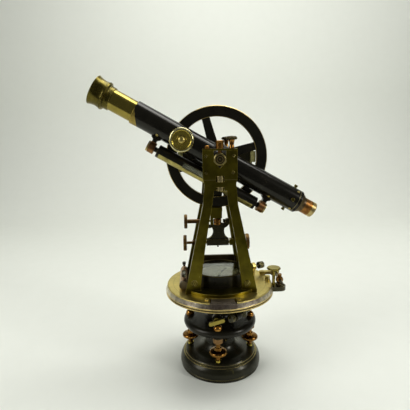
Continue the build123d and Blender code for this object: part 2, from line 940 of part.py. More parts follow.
# Screws that stay put: friction screws and hinge screws of the caps, bearing adjusters
with BuildPart() as bearing_screws:
    for side in (-1, 1):
        y = side * standard_middle
        turn_at(
            0,
            y,
            [
                (0, trunnion_height + journal_radius + 0.3),
                (cap_screw_radius, trunnion_height + journal_radius + 0.3),
                (cap_screw_radius, cap_top),
                (4.85, cap_top),
                (4.85, cap_top + 7.1),
                (5.3, cap_top + 7.9),
                (5.3, cap_top + 8.9),
                (4.7, cap_top + 9.4),
                (0, cap_top + 9.4),
            ],
        )
        turn_at(
            cap_hinge_x,
            y,
            [
                (0, head_top - 8.5),
                (1.6, head_top - 8.5),
                (1.6, cap_top),
                (2.9, cap_top),
                (2.9, cap_top + 3.1),
                (2.3, cap_top + 3.7),
                (0, cap_top + 3.7),
            ],
        )
        rod(upright(0, y), nut_radius, *lower_nut)
        rod(upright(0, y), nut_screw_radius, lower_nut[1], upper_nut[0])
        rod(upright(0, y), nut_radius, upper_nut[0], upper_nut[1] - 0.3)
save(bearing_screws, "bearing_screws")

# Transverse axis: sleeve round the telescope, two arms and two journals
with BuildPart() as transverse_axis:
    turn(
        [
            (-standard_face - 0.4, 0),
            (-standard_face - 0.4, 6.3),
            (-standard_face + 0.4, journal_radius),
            (-standard_inner_face + 0.3, journal_radius),
            (-standard_inner_face + 0.3, axle_radius),
            (-27.0, axle_radius),
            (-18.0, 13.0),
            (circle_face, 13.0),
            (circle_face, circle_seat_radius),
            (circle_face + circle_thickness, circle_seat_radius),
            (circle_face + circle_thickness + 1.0, axle_radius),
            (standard_inner_face - 0.3, axle_radius),
            (standard_inner_face - 0.3, journal_radius),
            (standard_face - 0.4, journal_radius),
            (standard_face + 0.4, 6.3),
            (standard_face + 0.4, 0),
        ],
        trunnion_plane,
        trunnion_axis,
    )
    turn(
        [(-12.0, 0), (-12.0, 17.0), (-10.6, 18.0), (10.6, 18.0), (12.0, 17.0), (12.0, 0)],
        telescope_plane,
        telescope_axis,
    )
    rod(along_tube(0), tube_radius, -20.0, 20.0, Mode.SUBTRACT)
    for side in (-1, 1):
        end = Plane(origin=(0, side * (standard_face + 0.4), trunnion_height), z_dir=(0, side, 0))
        rod(end, 1.1, -2.5, 1.0, Mode.SUBTRACT)
save(transverse_axis, "transverse_axis")

# Telescope: main tube with two guides for the draw tube and the housing of the pinion
focus_plane = Plane(origin=on_tube(focus_station, focus_offset), z_dir=(0, -1, 0))
tube_end = 116.9
tube_cap_end = 121.9
pocket_radius = 4.6
reticle_screw_radius = 1.1
reticle_turns = (0, 90, 180, 270)


def reticle_hole(turned):
    """Plane across the tube's axis whose normal points out along one reticle screw."""
    around = radians(turned)
    return Plane(
        origin=on_tube(reticle_station, 0),
        z_dir=(sin(tilt) * cos(around), sin(around), cos(tilt) * cos(around)),
    )


with BuildPart() as telescope_tube:
    turn(
        [
            (tube_front, 0),
            (tube_front, tube_radius - 0.3),
            (tube_front + 0.3, tube_radius),
            (tube_end, tube_radius),
            (tube_end, 14.0),
            (tube_cap_end, 11.0),
            (tube_cap_end, 0),
        ],
        telescope_plane,
        telescope_axis,
    )
    rod(focus_plane, 7.5, 12.0, 17.5)
    turn(
        [
            (tube_front - 5.0, 0),
            (tube_front - 5.0, draw_radius + running),
            (-96.0, draw_radius + running),
            (-96.0, tube_bore),
            (-30.0, tube_bore),
            (-30.0, draw_radius + running),
            (-21.5, draw_radius + running),
            (-21.5, tube_bore),
            (110.0, tube_bore),
            (111.0, eyepiece_radius + running),
            (tube_cap_end + 5.0, eyepiece_radius + running),
            (tube_cap_end + 5.0, 0),
        ],
        telescope_plane,
        telescope_axis,
        Mode.SUBTRACT,
    )
    rod(focus_plane, pocket_radius, 8.0, 14.2, Mode.SUBTRACT)
    rod(focus_plane, shaft_radius + running, 8.0, 20.0, Mode.SUBTRACT)
    for turned in reticle_turns:
        rod(reticle_hole(turned), reticle_screw_radius, 10.0, 20.0, Mode.SUBTRACT)
save(telescope_tube, "telescope_tube")

# Vertical circle with four spokes set at 45 degrees to the telescope
spoke_angles = (45, 135, 225, 315)
circle_back = circle_face + circle_thickness


def spoke(angle):
    """Tapered spoke, wider at the hub."""
    c = cos(radians(angle))
    s = sin(radians(angle))
    tip = circle_inner_radius + 1.5
    corners = [(14.0, -6.4), (tip, -5.1), (tip, 5.1), (14.0, 6.4)]
    return [(u * c - v * s, u * s + v * c) for u, v in corners]


with BuildPart() as vertical_circle:
    turn(
        [
            (circle_face + 0.7, circle_inner_radius),
            (circle_face, circle_inner_radius + 0.7),
            (circle_face, circle_radius - 0.8),
            (circle_face + 0.8, circle_radius),
            (circle_back, circle_radius),
            (circle_back, circle_inner_radius),
        ],
        trunnion_plane,
        trunnion_axis,
    )
    turn(
        [
            (circle_face, circle_seat_radius),
            (circle_face, 15.2),
            (circle_face + 0.8, 16.0),
            (circle_back, 16.0),
            (circle_back, circle_seat_radius),
        ],
        trunnion_plane,
        trunnion_axis,
    )
    for angle in spoke_angles:
        slab(spoke(angle), telescope_plane, -circle_face - 2.2, -circle_face - 0.2)
save(vertical_circle, "vertical_circle")

# Focusing: milled knob, pinion on its shaft, draw tube with its rack
knob_radius = 14.7
knob_near = 20.0
knob_far = 24.6
with BuildPart() as focus_knob:
    revolve(
        section(
            [
                (shaft_radius, knob_near - 1.2),
                (5.6, knob_near - 1.2),
                (5.6, knob_near + 0.6),
                (knob_radius - 4.4, knob_near + 1.2),
                ((knob_radius - 3.6, knob_near + 0.2), (knob_radius - 2.2, knob_near - 0.2)),
                ((knob_radius, knob_near + 2.2), (knob_radius - 2.2, knob_far)),
                ((knob_radius - 3.8, knob_far - 0.5), (knob_radius - 4.6, knob_far - 1.8)),
                (6.4, knob_far - 2.2),
                (5.4, knob_far - 0.6),
                (shaft_radius, knob_far - 0.6),
            ],
            Plane(
                origin=on_tube(focus_station, focus_offset),
                x_dir=(1, 0, 0),
                z_dir=(0, 0, 1),
            ).rotated((180, 0, 0)),
        ),
        axis=Axis(on_tube(focus_station, focus_offset), (0, 1, 0)),
    )
save(focus_knob, "focus_knob")

pinion_pitch_radius = tooth_module * pinion_teeth / 2
pinion_tip = pinion_pitch_radius + 0.6
pinion_root = pinion_pitch_radius - 0.9


def pinion_outline():
    """Ten straight-flanked teeth, the first one pointing at the rack."""
    corners = []
    flank = [
        (pinion_root, -0.60),
        (pinion_pitch_radius, -0.45),
        (pinion_tip, -0.26),
        (pinion_tip, 0.26),
        (pinion_pitch_radius, 0.45),
        (pinion_root, 0.60),
    ]
    for tooth in range(pinion_teeth):
        middle = -pi / 2 + 2 * pi * tooth / pinion_teeth
        for radius, half in flank:
            angle = middle + asin(half / radius)
            corners.append(
                (focus_station + radius * cos(angle), focus_offset + radius * sin(angle))
            )
    return corners


with BuildPart() as focus_pinion:
    slab(pinion_outline(), telescope_plane, pinion_near, pinion_far)
    rod(focus_plane, shaft_radius, pinion_near, knob_far - 0.6)
save(focus_pinion, "focus_pinion")

rack_pitch_line = focus_offset - pinion_pitch_radius
rack_tip = rack_pitch_line + 0.6
rack_root = rack_pitch_line - 0.9
tooth_pitch = pi * tooth_module
flank_slope = tan(radians(20.0))
rack_tooth_half = 0.42
slot_start = -80.4
slot_end = -32.4


def rack_outline():
    """Straight rack whose gap lies under the pinion's first tooth."""
    corners = [(slot_start - 1.5, rack_root - 2.2), (slot_start - 1.5, rack_root)]
    first = int((slot_start - focus_station) / tooth_pitch)
    last = int((slot_end - focus_station) / tooth_pitch)
    for count in range(first, last):
        middle = focus_station + (count + 0.5) * tooth_pitch
        root_half = rack_tooth_half + 0.9 * flank_slope
        tip_half = rack_tooth_half - 0.6 * flank_slope
        corners.append((middle - root_half, rack_root))
        corners.append((middle - tip_half, rack_tip))
        corners.append((middle + tip_half, rack_tip))
        corners.append((middle + root_half, rack_root))
    corners.append((slot_end + 1.5, rack_root))
    corners.append((slot_end + 1.5, rack_root - 2.2))
    return corners


with BuildPart() as draw_tube:
    turn(
        [
            (draw_front, draw_bore),
            (draw_front, draw_radius),
            (draw_back, draw_radius),
            (draw_back, draw_bore),
        ],
        telescope_plane,
        telescope_axis,
    )
    slab(
        [
            (slot_start, rack_root - 0.6),
            (slot_end, rack_root - 0.6),
            (slot_end, focus_offset + pinion_tip + 0.6),
            (slot_start, focus_offset + pinion_tip + 0.6),
        ],
        telescope_plane,
        6.0,
        15.0,
        Mode.SUBTRACT,
    )
    with BuildPart(mode=Mode.PRIVATE) as rack:
        slab(rack_outline(), telescope_plane, pinion_near - 0.4, draw_radius + 1.0)
        rod(along_tube(0), draw_radius, -90.0, -20.0, Mode.INTERSECT)
    add(rack.part)
save(draw_tube, "draw_tube")

# Objective: cell screwed into the draw tube, lens, ray shade that slips over the cell
cell_front = -153.4
cell_back = -145.6
with BuildPart() as objective_cell:
    turn(
        [
            (cell_front, 11.2),
            (cell_front, 13.9),
            (-151.4, 13.9),
            (-151.4, tube_radius),
            (-150.6, tube_radius),
            (-150.0, 14.3),
            (cell_back, 14.3),
            (cell_back, draw_radius),
            (draw_front, draw_radius),
            (draw_front, 12.4),
            (-151.8, 12.4),
            (-151.8, 11.2),
        ],
        telescope_plane,
        telescope_axis,
    )
save(objective_cell, "objective_cell")

lens_radius = 11.9
with BuildPart() as objective_lens:
    turn(
        [
            (-151.7, 0),
            (-151.7, 0.6),
            ((-151.3, 6.2), (-150.4, lens_radius)),
            (-147.6, lens_radius),
            ((-147.0, 6.0), (-146.8, 0.6)),
            (-146.8, 0),
        ],
        telescope_plane,
        telescope_axis,
    )
save(objective_lens, "objective_lens")

shade_front = -169.2
with BuildPart() as ray_shade:
    turn(
        [
            (-151.5, 13.9 + running),
            (-151.5, 15.2),
            (-152.8, 17.1),
            (-154.6, 17.5),
            (-155.2, 16.9),
            ((-161.4, 16.25), (-167.4, 17.5)),
            (shade_front, 18.2),
            (shade_front, 17.4),
            ((-163.6, 15.3), (-157.0, 15.4)),
            (-153.6, 13.9 + running),
        ],
        telescope_plane,
        telescope_axis,
    )
save(ray_shade, "ray_shade")

# Eye end: sliding eyepiece, its lens, the reticle ring with four capstan screws
eyepiece_back = 140.0
eyepiece_front = 112.5
with BuildPart() as eyepiece_tube:
    turn(
        [
            (eyepiece_front, 8.4),
            (eyepiece_front, eyepiece_radius),
            (131.0, eyepiece_radius),
            (131.0, eyepiece_radius + 0.1),
            (eyepiece_back - 0.8, eyepiece_radius + 0.1),
            (eyepiece_back, eyepiece_radius - 0.7),
            (eyepiece_back, 4.6),
            (eyepiece_back - 1.4, 3.0),
            (eyepiece_back - 2.2, 3.0),
            (eyepiece_back - 2.2, 8.4),
        ],
        telescope_plane,
        telescope_axis,
    )
save(eyepiece_tube, "eyepiece_tube")

with BuildPart() as eyepiece_lens:
    turn(
        [(133.2, 0), (133.2, 8.4), (134.8, 8.4), ((136.0, 4.4), (136.4, 0.6)), (136.4, 0)],
        telescope_plane,
        telescope_axis,
    )
save(eyepiece_lens, "eyepiece_lens")

reticle_radius = 11.9
with BuildPart() as reticle_ring:
    turn(
        [
            (reticle_station - 2.4, 8.0),
            (reticle_station - 2.4, reticle_radius),
            (reticle_station + 2.4, reticle_radius),
            (reticle_station + 2.4, 8.0),
        ],
        telescope_plane,
        telescope_axis,
    )
    for turned in reticle_turns:
        rod(reticle_hole(turned), reticle_screw_radius, 9.6, 13.0, Mode.SUBTRACT)
save(reticle_ring, "reticle_ring")

with BuildPart() as reticle_screws:
    for turned in reticle_turns:
        rod(reticle_hole(turned), reticle_screw_radius, 9.6, 15.4)
        rod(reticle_hole(turned), 2.2, 15.0, 18.1)
save(reticle_screws, "reticle_screws")

# Hanging level: sheath with a window, two posts with nuts, vial
stud_radius = 3.2
level_bore_half_length = level_half_length - 3.0
level_window = (-34.0, 34.0)
with BuildPart() as telescope_level:
    rod(along_tube(level_offset), level_radius, -level_half_length, level_half_length)
    rod(
        along_tube(level_offset),
        level_bore,
        -level_bore_half_length,
        level_bore_half_length,
        Mode.SUBTRACT,
    )
    for end in (-1, 1):
        near = min(end * (level_half_length - 2.0), end * 83.0)
        far = max(end * (level_half_length - 2.0), end * 83.0)
        rod(along_tube(level_offset), stud_radius, near, far)
    slab(
        [
            (level_window[0], level_offset - 3.4),
            (level_window[1], level_offset - 3.4),
            (level_window[1], level_offset + 3.4),
            (level_window[0], level_offset + 3.4),
        ],
        telescope_plane,
        4.0,
        10.0,
        Mode.SUBTRACT,
    )
save(telescope_level, "telescope_level")

with BuildPart() as level_vial:
    rod(
        along_tube(level_offset),
        level_bore - 0.4,
        -level_bore_half_length,
        level_bore_half_length,
    )
save(level_vial, "level_vial")

with BuildPart() as level_posts:
    for end in (-1, 1):
        centre = end * post_station
        slab(
            [
                (centre - 6.0, -12.0),
                (centre - 6.0, -15.6),
                (centre - 2.8, -17.6),
                (centre - 2.8, level_offset),
                (centre + 2.8, level_offset),
                (centre + 2.8, -17.6),
                (centre + 6.0, -15.6),
                (centre + 6.0, -12.0),
            ],
            telescope_plane,
            -4.2,
            4.2,
        )
        near = min(end * 73.8, end * 81.4)
        far = max(end * 73.8, end * 81.4)
        rod(along_tube(level_offset), 7.2, near, far)
    rod(along_tube(0), tube_radius, -100.0, 100.0, Mode.SUBTRACT)
    for end in (-1, 1):
        near = min(end * 81.8, end * 83.6)
        far = max(end * 81.8, end * 83.6)
        rod(along_tube(level_offset), 6.7, near, far)
    rod(along_tube(level_offset), stud_radius, -90.0, 90.0, Mode.SUBTRACT)
save(level_posts, "level_posts")

# Vernier frame: hub on the axle, two arms with verniers, tail held by the clipping screws
tangent_thread_radius = 1.5
ear_left = (-16.8, -12.2)
ear_right = (11.4, 16.8)
arm_bottom = trunnion_height - 9.1
arm_top = trunnion_height + 9.1
arm_reach = circle_inner_radius - 4.7
with BuildPart() as vernier_frame:
    turn(
        [
            (frame_face, axle_radius + running),
            (frame_face, 14.4),
            (frame_face + 0.8, 15.2),
            (frame_back, 15.2),
            (frame_back, axle_radius + running),
        ],
        trunnion_plane,
        trunnion_axis,
    )
    slab(
        [
            (-arm_reach, arm_bottom),
            (-arm_reach, arm_top),
            (arm_reach, arm_top),
            (arm_reach, arm_bottom),
            (12.0, arm_bottom),
            (7.0, arm_bottom - 9.2),
            (7.0, slow_motion_height + 14.6),
            (5.6, slow_motion_height + 5.6),
            (5.6, slow_motion_height - 2.8),
            (8.4, slow_motion_height - 3.2),
            (10.4, slow_motion_height - 1.0),
            (12.6, slow_motion_height + 3.0),
            (17.4, slow_motion_height + 3.0),
            (17.4, slow_motion_height - 0.8),
            (
                (15.4, slow_motion_height - 6.0),
                (10.1, slow_motion_height - 10.0),
            ),
            ((9.4, clip_height + 13.9), (15.4, clip_height + 5.1)),
            (15.4, clip_height - 4.0),
            (-14.9, clip_height - 4.0),
            (-14.9, clip_height + 5.1),
            ((-6.2, clip_height + 12.9), (-7.6, slow_motion_height - 9.2)),
            (
                (-15.4, slow_motion_height - 8.2),
                (-17.4, slow_motion_height - 2.4),
            ),
            (-17.4, slow_motion_height + 3.0),
            (-12.2, slow_motion_height + 3.0),
            (-12.2, slow_motion_height - 5.2),
            (-2.8, slow_motion_height - 5.2),
            (-2.8, slow_motion_height + 14.6),
            (-7.0, slow_motion_height + 19.6),
            (-7.0, arm_bottom - 9.2),
            (-12.0, arm_bottom),
        ],
        Plane.XZ,
        -frame_back,
        -frame_face,
    )
    block((-14.9, 15.4), (23.2, frame_back), (clip_height - 4.0, clip_height + 4.0))
    for ear in (ear_left, ear_right):
        block(ear, (23.2, frame_back), (slow_motion_height - 3.2, slow_motion_height + 3.0))
    rod(lengthwise(slow_motion_y, slow_motion_height), 2.2, 7.6, ear_right[0] + 1.0)
    rod(upright(0.6, slow_motion_y + 1.0), 1.2, clip_height - 7.0, clip_height - 4.0)
    for side in (-1, 1):
        slab(
            [
                (side * (circle_inner_radius - 7.1), -7.2),
                (side * (circle_inner_radius - 7.1), 7.2),
                (side * (circle_inner_radius - 1.0), 7.2),
                (
                    (side * (circle_inner_radius - 0.5), 0),
                    (side * (circle_inner_radius - 1.0), -7.2),
                ),
            ],
            Plane(origin=(0, 0, trunnion_height), x_dir=(1, 0, 0), z_dir=(0, -1, 0)),
            -frame_face - 0.5,
            -21.2,
        )
    turn(
        [
            (frame_face - 6.0, 0),
            (frame_face - 6.0, axle_radius + running),
            (frame_back + 1.0, axle_radius + running),
            (frame_back + 1.0, 0),
        ],
        trunnion_plane,
        trunnion_axis,
        Mode.SUBTRACT,
    )
    rod(
        lengthwise(slow_motion_y, slow_motion_height),
        tangent_thread_radius + running,
        -30.0,
        -10.0,
        Mode.SUBTRACT,
    )
    for side in (-1, 1):
        near = min(side * 9.4, side * 20.0)
        far = max(side * 9.4, side * 20.0)
        rod(
            lengthwise(slow_motion_y, clip_height),
            clip_screw_radius + swinging,
            near,
            far,
            Mode.SUBTRACT,
        )
save(vernier_frame, "vernier_frame")

# Clipping screws that hold the frame's tail between two lugs
clip_head_radius = 10.5
for side, name, head_near in ((-1, "clip_screw_left", 42.1), (1, "clip_screw_right", 38.5)):
    plane = Plane(origin=(0, slow_motion_y, clip_height), z_dir=(side, 0, 0))
    with BuildPart() as clip_screw:
        rod(plane, clip_screw_radius, 11.0, head_near + 1.0)
        rod(plane, 3.2, 31.2, 34.6)
        rod(plane, clip_head_radius, head_near, head_near + 4.4)
    save(clip_screw, name)

# Vertical clamp: block under the rim with a jaw behind it and a leg for the slow motion
block_left = -9.4
block_right = 5.8
capstan_x = -0.4
capstan_y = circle_face + 1.7
capstan_thread_radius = 1.8
with BuildPart() as circle_clamp:
    block(
        (block_left, block_right),
        (circle_face - 3.4, circle_back + 2.3),
        (slow_motion_height + 5.8, slow_motion_height + slow_motion_drop + 0.3),
    )
    block(
        (block_left, block_left + 3.7),
        (circle_face + 0.9, circle_back + 6.6),
        (slow_motion_height - 4.4, slow_motion_height + 7.6),
    )
    rim_plane = Plane(origin=(0, 0, trunnion_height), z_dir=(0, 1, 0))
    rod(rim_plane, circle_radius + 0.4, 10.0, circle_back + 0.35, Mode.SUBTRACT)
    rod(rim_plane, circle_radius - 5.6, 10.0, 40.0, Mode.SUBTRACT)
    rod(
        upright(capstan_x, capstan_y),
        capstan_thread_radius + running,
        slow_motion_height - 8.4,
        slow_motion_height + slow_motion_drop - 2.7,
        Mode.SUBTRACT,
    )
    rod(
        lengthwise(slow_motion_y, slow_motion_height),
        tangent_thread_radius + swinging,
        -15.0,
        0.0,
        Mode.SUBTRACT,
    )
save(circle_clamp, "circle_clamp")

# Capstan screw of the vertical clamp
with BuildPart() as circle_clamp_screw:
    turn_at(
        capstan_x,
        capstan_y,
        [
            (0, slow_motion_height - 3.7),
            (4.6, slow_motion_height - 3.7),
            (5.1, slow_motion_height - 3.1),
            (5.1, slow_motion_height + 3.5),
            (4.6, slow_motion_height + 4.1),
            (capstan_thread_radius, slow_motion_height + 4.1),
            (capstan_thread_radius, slow_motion_height + slow_motion_drop - 3.3),
            (0, slow_motion_height + slow_motion_drop - 3.3),
        ],
    )
save(circle_clamp_screw, "circle_clamp_screw")

# Slow-motion screw of the telescope, held in the frame's left ear
with BuildPart() as vertical_tangent_screw:
    plane = Plane(origin=(0, slow_motion_y, slow_motion_height), z_dir=(-1, 0, 0))
    rod(plane, tangent_thread_radius, 6.2, 20.0)
    rod(plane, 2.8, 17.6, 41.0)
    rod(plane, 9.4, 40.6, 44.8)
save(vertical_tangent_screw, "vertical_tangent_screw")

# Plate level: case with a window on two feet, capstan screws above, vial inside
level_x = 23.6 - limb_radius
plate_level_height = plate_top + 6.5
plate_level_radius = 5.4
plate_level_bore = 4.3
level_pillars = (
    (-18.6, plate_level_height + 12.4),
    (21.6, plate_level_height + 14.2),
)
level_y = Plane(origin=(level_x, 0, plate_level_height), z_dir=(0, 1, 0))
with BuildPart() as plate_level:
    rod(level_y, plate_level_radius, -26.0, 29.2)
    for y, top in level_pillars:
        block(
            (level_x - 3.4, level_x + 3.4),
            (y - 2.8, y + 2.8),
            (plate_top, plate_level_height),
        )
        rod(upright(level_x, y), 1.5, plate_level_height + 3.0, top)
        rod(upright(level_x, y), 3.0, plate_level_height + 5.2, plate_level_height + 7.4)
        rod(upright(level_x, y), 2.4, top - 3.4, top)
    rod(level_y, plate_level_bore, -24.4, 27.6, Mode.SUBTRACT)
    block(
        (level_x - 3.0, level_x + 3.0),
        (-12.0, 15.0),
        (plate_level_height + 1.0, plate_level_height + 11.4),
        Mode.SUBTRACT,
    )
save(plate_level, "plate_level")

with BuildPart() as plate_level_vial:
    rod(level_y, plate_level_bore - 0.2, -24.4, 27.6)
save(plate_level_vial, "plate_level_vial")
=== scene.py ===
import math

import bmesh
import bpy
from mathutils import Matrix, Vector


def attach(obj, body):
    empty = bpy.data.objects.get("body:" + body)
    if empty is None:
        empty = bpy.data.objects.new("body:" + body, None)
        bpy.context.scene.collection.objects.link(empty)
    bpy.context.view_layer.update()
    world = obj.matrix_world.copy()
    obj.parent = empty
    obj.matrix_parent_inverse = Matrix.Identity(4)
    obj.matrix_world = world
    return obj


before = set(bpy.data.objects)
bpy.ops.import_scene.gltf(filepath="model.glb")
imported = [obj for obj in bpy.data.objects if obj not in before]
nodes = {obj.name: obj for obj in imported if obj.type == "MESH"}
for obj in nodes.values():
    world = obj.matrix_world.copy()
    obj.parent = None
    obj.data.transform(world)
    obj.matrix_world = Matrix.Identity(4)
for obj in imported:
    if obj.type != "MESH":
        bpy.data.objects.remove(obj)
scene = bpy.context.scene
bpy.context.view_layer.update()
mm = 0.001
tilt = math.radians(29.7)   # the telescope's dip towards the eye end
trunnionHeight = 274.3
levelHeadBearing = -97.4    # bearing of the first levelling screw
levelHeadRadius = 40.0
plateTop = 112.1
standardFace = 38.0         # outer faces of the two standards
focusStation = -49.4        # the focusing knob, along the telescope and above its axis
focusOffset = -2.0
frameScrewDepth = 26.3      # the vernier frame's screws lie this far behind the vertical axis
clipHeight = 158.5
slowMotionHeight = 188.4
lifterBearing = 24.5
lowerTangentBearing = -50.0


def tubePoint(station, offset, across=0.0):
    x = station * math.cos(tilt) + offset * math.sin(tilt)
    z = trunnionHeight - station * math.sin(tilt) + offset * math.cos(tilt)
    return (x, across, z)


def polar(radius, bearing, height=0.0):
    angle = math.radians(bearing)
    return (radius * math.cos(angle), radius * math.sin(angle), height)


tubeUp = (math.sin(tilt), 0.0, math.cos(tilt))


# a socket that takes part in sums
class Value:
    def __init__(self, paint, socket):
        self.paint = paint
        self.socket = socket

    def sum(self, operation, other, flipped=False):
        pair = (other, self) if flipped else (self, other)
        return self.paint.node("ShaderNodeMath", {"operation": operation}, *pair)

    def __add__(self, other):
        return self.sum("ADD", other)

    def __sub__(self, other):
        return self.sum("SUBTRACT", other)

    def __rsub__(self, other):
        return self.sum("SUBTRACT", other, True)

    def __mul__(self, other):
        return self.sum("MULTIPLY", other)

    def __truediv__(self, other):
        return self.sum("DIVIDE", other)

    __radd__ = __add__
    __rmul__ = __mul__


# one material and the nodes that make it
class Paint:
    def __init__(self, name):
        self.material = bpy.data.materials.new(name)
        self.material.use_nodes = True
        self.tree = self.material.node_tree
        self.shader = self.tree.nodes["Principled BSDF"]
        place = self.tree.nodes.new("ShaderNodeTexCoord")
        self.place = Value(self, place.outputs["Object"])
        apart = self.tree.nodes.new("ShaderNodeSeparateXYZ")
        self.tree.links.new(self.place.socket, apart.inputs[0])
        self.x = Value(self, apart.outputs[0]) / mm
        self.y = Value(self, apart.outputs[1]) / mm
        self.z = Value(self, apart.outputs[2]) / mm

    def fill(self, socket, value):
        if isinstance(value, Value):
            self.tree.links.new(value.socket, socket)
        elif value is not None:
            socket.default_value = value

    def node(self, kind, settings, *values, out=0):
        made = self.tree.nodes.new(kind)
        for key, value in settings.items():
            setattr(made, key, value)
        sockets = [s for s in made.inputs if s.enabled]
        for socket, value in zip(sockets, values):
            self.fill(socket, value)
        outputs = [s for s in made.outputs if s.enabled]
        return Value(self, outputs[out])

    def noise(self, scale, detail=4.0, roughness=0.6, stretch=None):
        place = self.place
        if stretch:
            place = self.node("ShaderNodeVectorMath", {"operation": "MULTIPLY"}, place, stretch)
        return self.node(
            "ShaderNodeTexNoise", {}, place, scale, detail, roughness
        )

    def step(self, value, low, high):
        return self.node("ShaderNodeMapRange", {"clamp": True}, value, low, high, 0.0, 1.0)

    def mix(self, factor, first, second):
        return self.node(
            "ShaderNodeMix", {"data_type": "RGBA", "clamp_factor": True}, factor, first, second
        )

    def between(self, value, low, high, soft=0.15):
        return self.step(value, low - soft, low + soft) * (1 - self.step(value, high - soft, high + soft))

    def fraction(self, value):
        return self.node("ShaderNodeMath", {"operation": "FRACT"}, value)

    def above(self, value, limit):
        return self.node("ShaderNodeMath", {"operation": "GREATER_THAN"}, value, limit)

    def below(self, value, limit):
        return self.node("ShaderNodeMath", {"operation": "LESS_THAN"}, value, limit)

    def radius(self, first, second):
        square = first * first + second * second
        return self.node("ShaderNodeMath", {"operation": "SQRT"}, square)

    def degrees(self, first, second):
        angle = self.node("ShaderNodeMath", {"operation": "ARCTAN2"}, first, second)
        return angle * (180 / math.pi) + 360

    # engraved lines across a ring, one each step
    def ticks(self, angle, radius, inner, outer, step, width):
        near = self.below(self.fraction(angle / step), width / step)
        return near * self.above(radius, inner) * self.below(radius, outer)

    # how far a face is from a rounded edge: 1 on the edge
    def edge(self, size):
        rounded = self.node("ShaderNodeBevel", {"samples": 6}, size * mm)
        plain = self.node("ShaderNodeNewGeometry", {}, out=1)
        match = self.node("ShaderNodeVectorMath", {"operation": "DOT_PRODUCT"}, rounded, plain, out=0)
        return rounded, self.step(1 - match, 0.01, 0.2)


# what each finish looks like, bare metal beside its coat
looks = {
    "blackLacquer": {
        "coat": (0.0095, 0.0082, 0.0045), "bare": (0.30, 0.23, 0.06), "metal": 0.0, "shine": 0.24,
        "bareShine": 0.34, "wear": 0.17, "edges": 0.8, "vary": 0.5, "bump": 0.03, "gloss": 0.0,
        "sheen": 0.27,
    },
    "tubeLacquer": {
        "coat": (0.0085, 0.0075, 0.005), "bare": (0.16, 0.125, 0.04), "metal": 0.0, "shine": 0.13,
        "bareShine": 0.3, "wear": 0.17, "edges": 0.8, "vary": 0.5, "bump": 0.02, "gloss": 0.0,
        "sheen": 0.3,
    },
    "oliveBrass": {
        "coat": (0.155, 0.127, 0.012), "bare": (0.60, 0.48, 0.11), "metal": 1.0, "shine": 0.26,
        "bareShine": 0.26, "wear": 0.16, "edges": 0.95, "vary": 0.5, "bump": 0.04, "gloss": 0.05,
    },
    "goldBrass": {
        "coat": (0.53, 0.415, 0.075), "bare": (0.20, 0.135, 0.025), "metal": 1.0, "shine": 0.18,
        "bareShine": 0.38, "wear": 0.28, "edges": 0.15, "vary": 0.35, "bump": 0.02, "gloss": 0.05,
    },
    "oldGold": {
        "coat": (0.145, 0.116, 0.022), "bare": (0.60, 0.49, 0.15), "metal": 1.0, "shine": 0.22,
        "bareShine": 0.28, "wear": 0.36, "edges": 1.0, "vary": 0.6, "bump": 0.03, "gloss": 0.05,
    },
    "darkBronze": {
        "coat": (0.040, 0.034, 0.010), "bare": (0.44, 0.34, 0.09), "metal": 0.8, "shine": 0.2,
        "bareShine": 0.3, "wear": 0.15, "edges": 0.95, "vary": 0.5, "bump": 0.03, "gloss": 0.35,
    },
    "baseLacquer": {
        "coat": (0.017, 0.0165, 0.0075), "bare": (0.26, 0.22, 0.06), "metal": 0.35, "shine": 0.24,
        "bareShine": 0.32, "wear": 0.16, "edges": 0.8, "vary": 0.5, "bump": 0.02, "gloss": 0.05,
        "sheen": 0.35,
    },
    "copperBrown": {
        "coat": (0.38, 0.175, 0.035), "bare": (0.70, 0.46, 0.12), "metal": 1.0, "shine": 0.17,
        "bareShine": 0.22, "wear": 0.38, "edges": 0.8, "vary": 0.65, "bump": 0.02, "gloss": 0.05,
    },
    "darkCopper": {
        "coat": (0.15, 0.080, 0.026), "bare": (0.52, 0.34, 0.10), "metal": 1.0, "shine": 0.26,
        "bareShine": 0.3, "wear": 0.28, "edges": 0.95, "vary": 0.6, "bump": 0.04, "gloss": 0.1,
    },
    "levelCase": {
        "coat": (0.62, 0.42, 0.26), "bare": (0.16, 0.10, 0.06), "metal": 0.9, "shine": 0.3,
        "bareShine": 0.4, "wear": 0.3, "edges": 0.3, "vary": 0.5, "bump": 0.04, "gloss": 0.1,
    },
    "drawnBrass": {
        "coat": (0.34, 0.27, 0.06), "bare": (0.13, 0.085, 0.02), "metal": 1.0, "shine": 0.13,
        "bareShine": 0.3, "wear": 0.24, "edges": 0.2, "vary": 0.3, "bump": 0.015, "gloss": 0.0,
    },
    "lilacSilver": {
        "coat": (0.34, 0.28, 0.22), "bare": (0.14, 0.10, 0.08), "metal": 1.0, "shine": 0.3,
        "bareShine": 0.4, "wear": 0.4, "edges": 0.2, "vary": 0.4, "bump": 0.02, "gloss": 0.0,
    },
    "amber": {
        "coat": (0.42, 0.25, 0.055), "bare": (0.09, 0.045, 0.015), "metal": 1.0, "shine": 0.2,
        "bareShine": 0.35, "wear": 0.45, "edges": 0.2, "vary": 0.3, "bump": 0.02, "gloss": 0.0,
    },
    "paleBrass": {
        "coat": (0.66, 0.53, 0.17), "bare": (0.50, 0.35, 0.16), "metal": 1.0, "shine": 0.27,
        "bareShine": 0.3, "wear": 0.34, "edges": 0.3, "vary": 0.3, "bump": 0.03, "gloss": 0.0,
    },
    "silvered": {
        "coat": (0.66, 0.64, 0.52), "bare": (0.42, 0.34, 0.18), "metal": 0.55, "shine": 0.42,
        "bareShine": 0.42, "wear": 0.28, "edges": 0.3, "vary": 0.3, "bump": 0.02, "gloss": 0.0,
    },
}


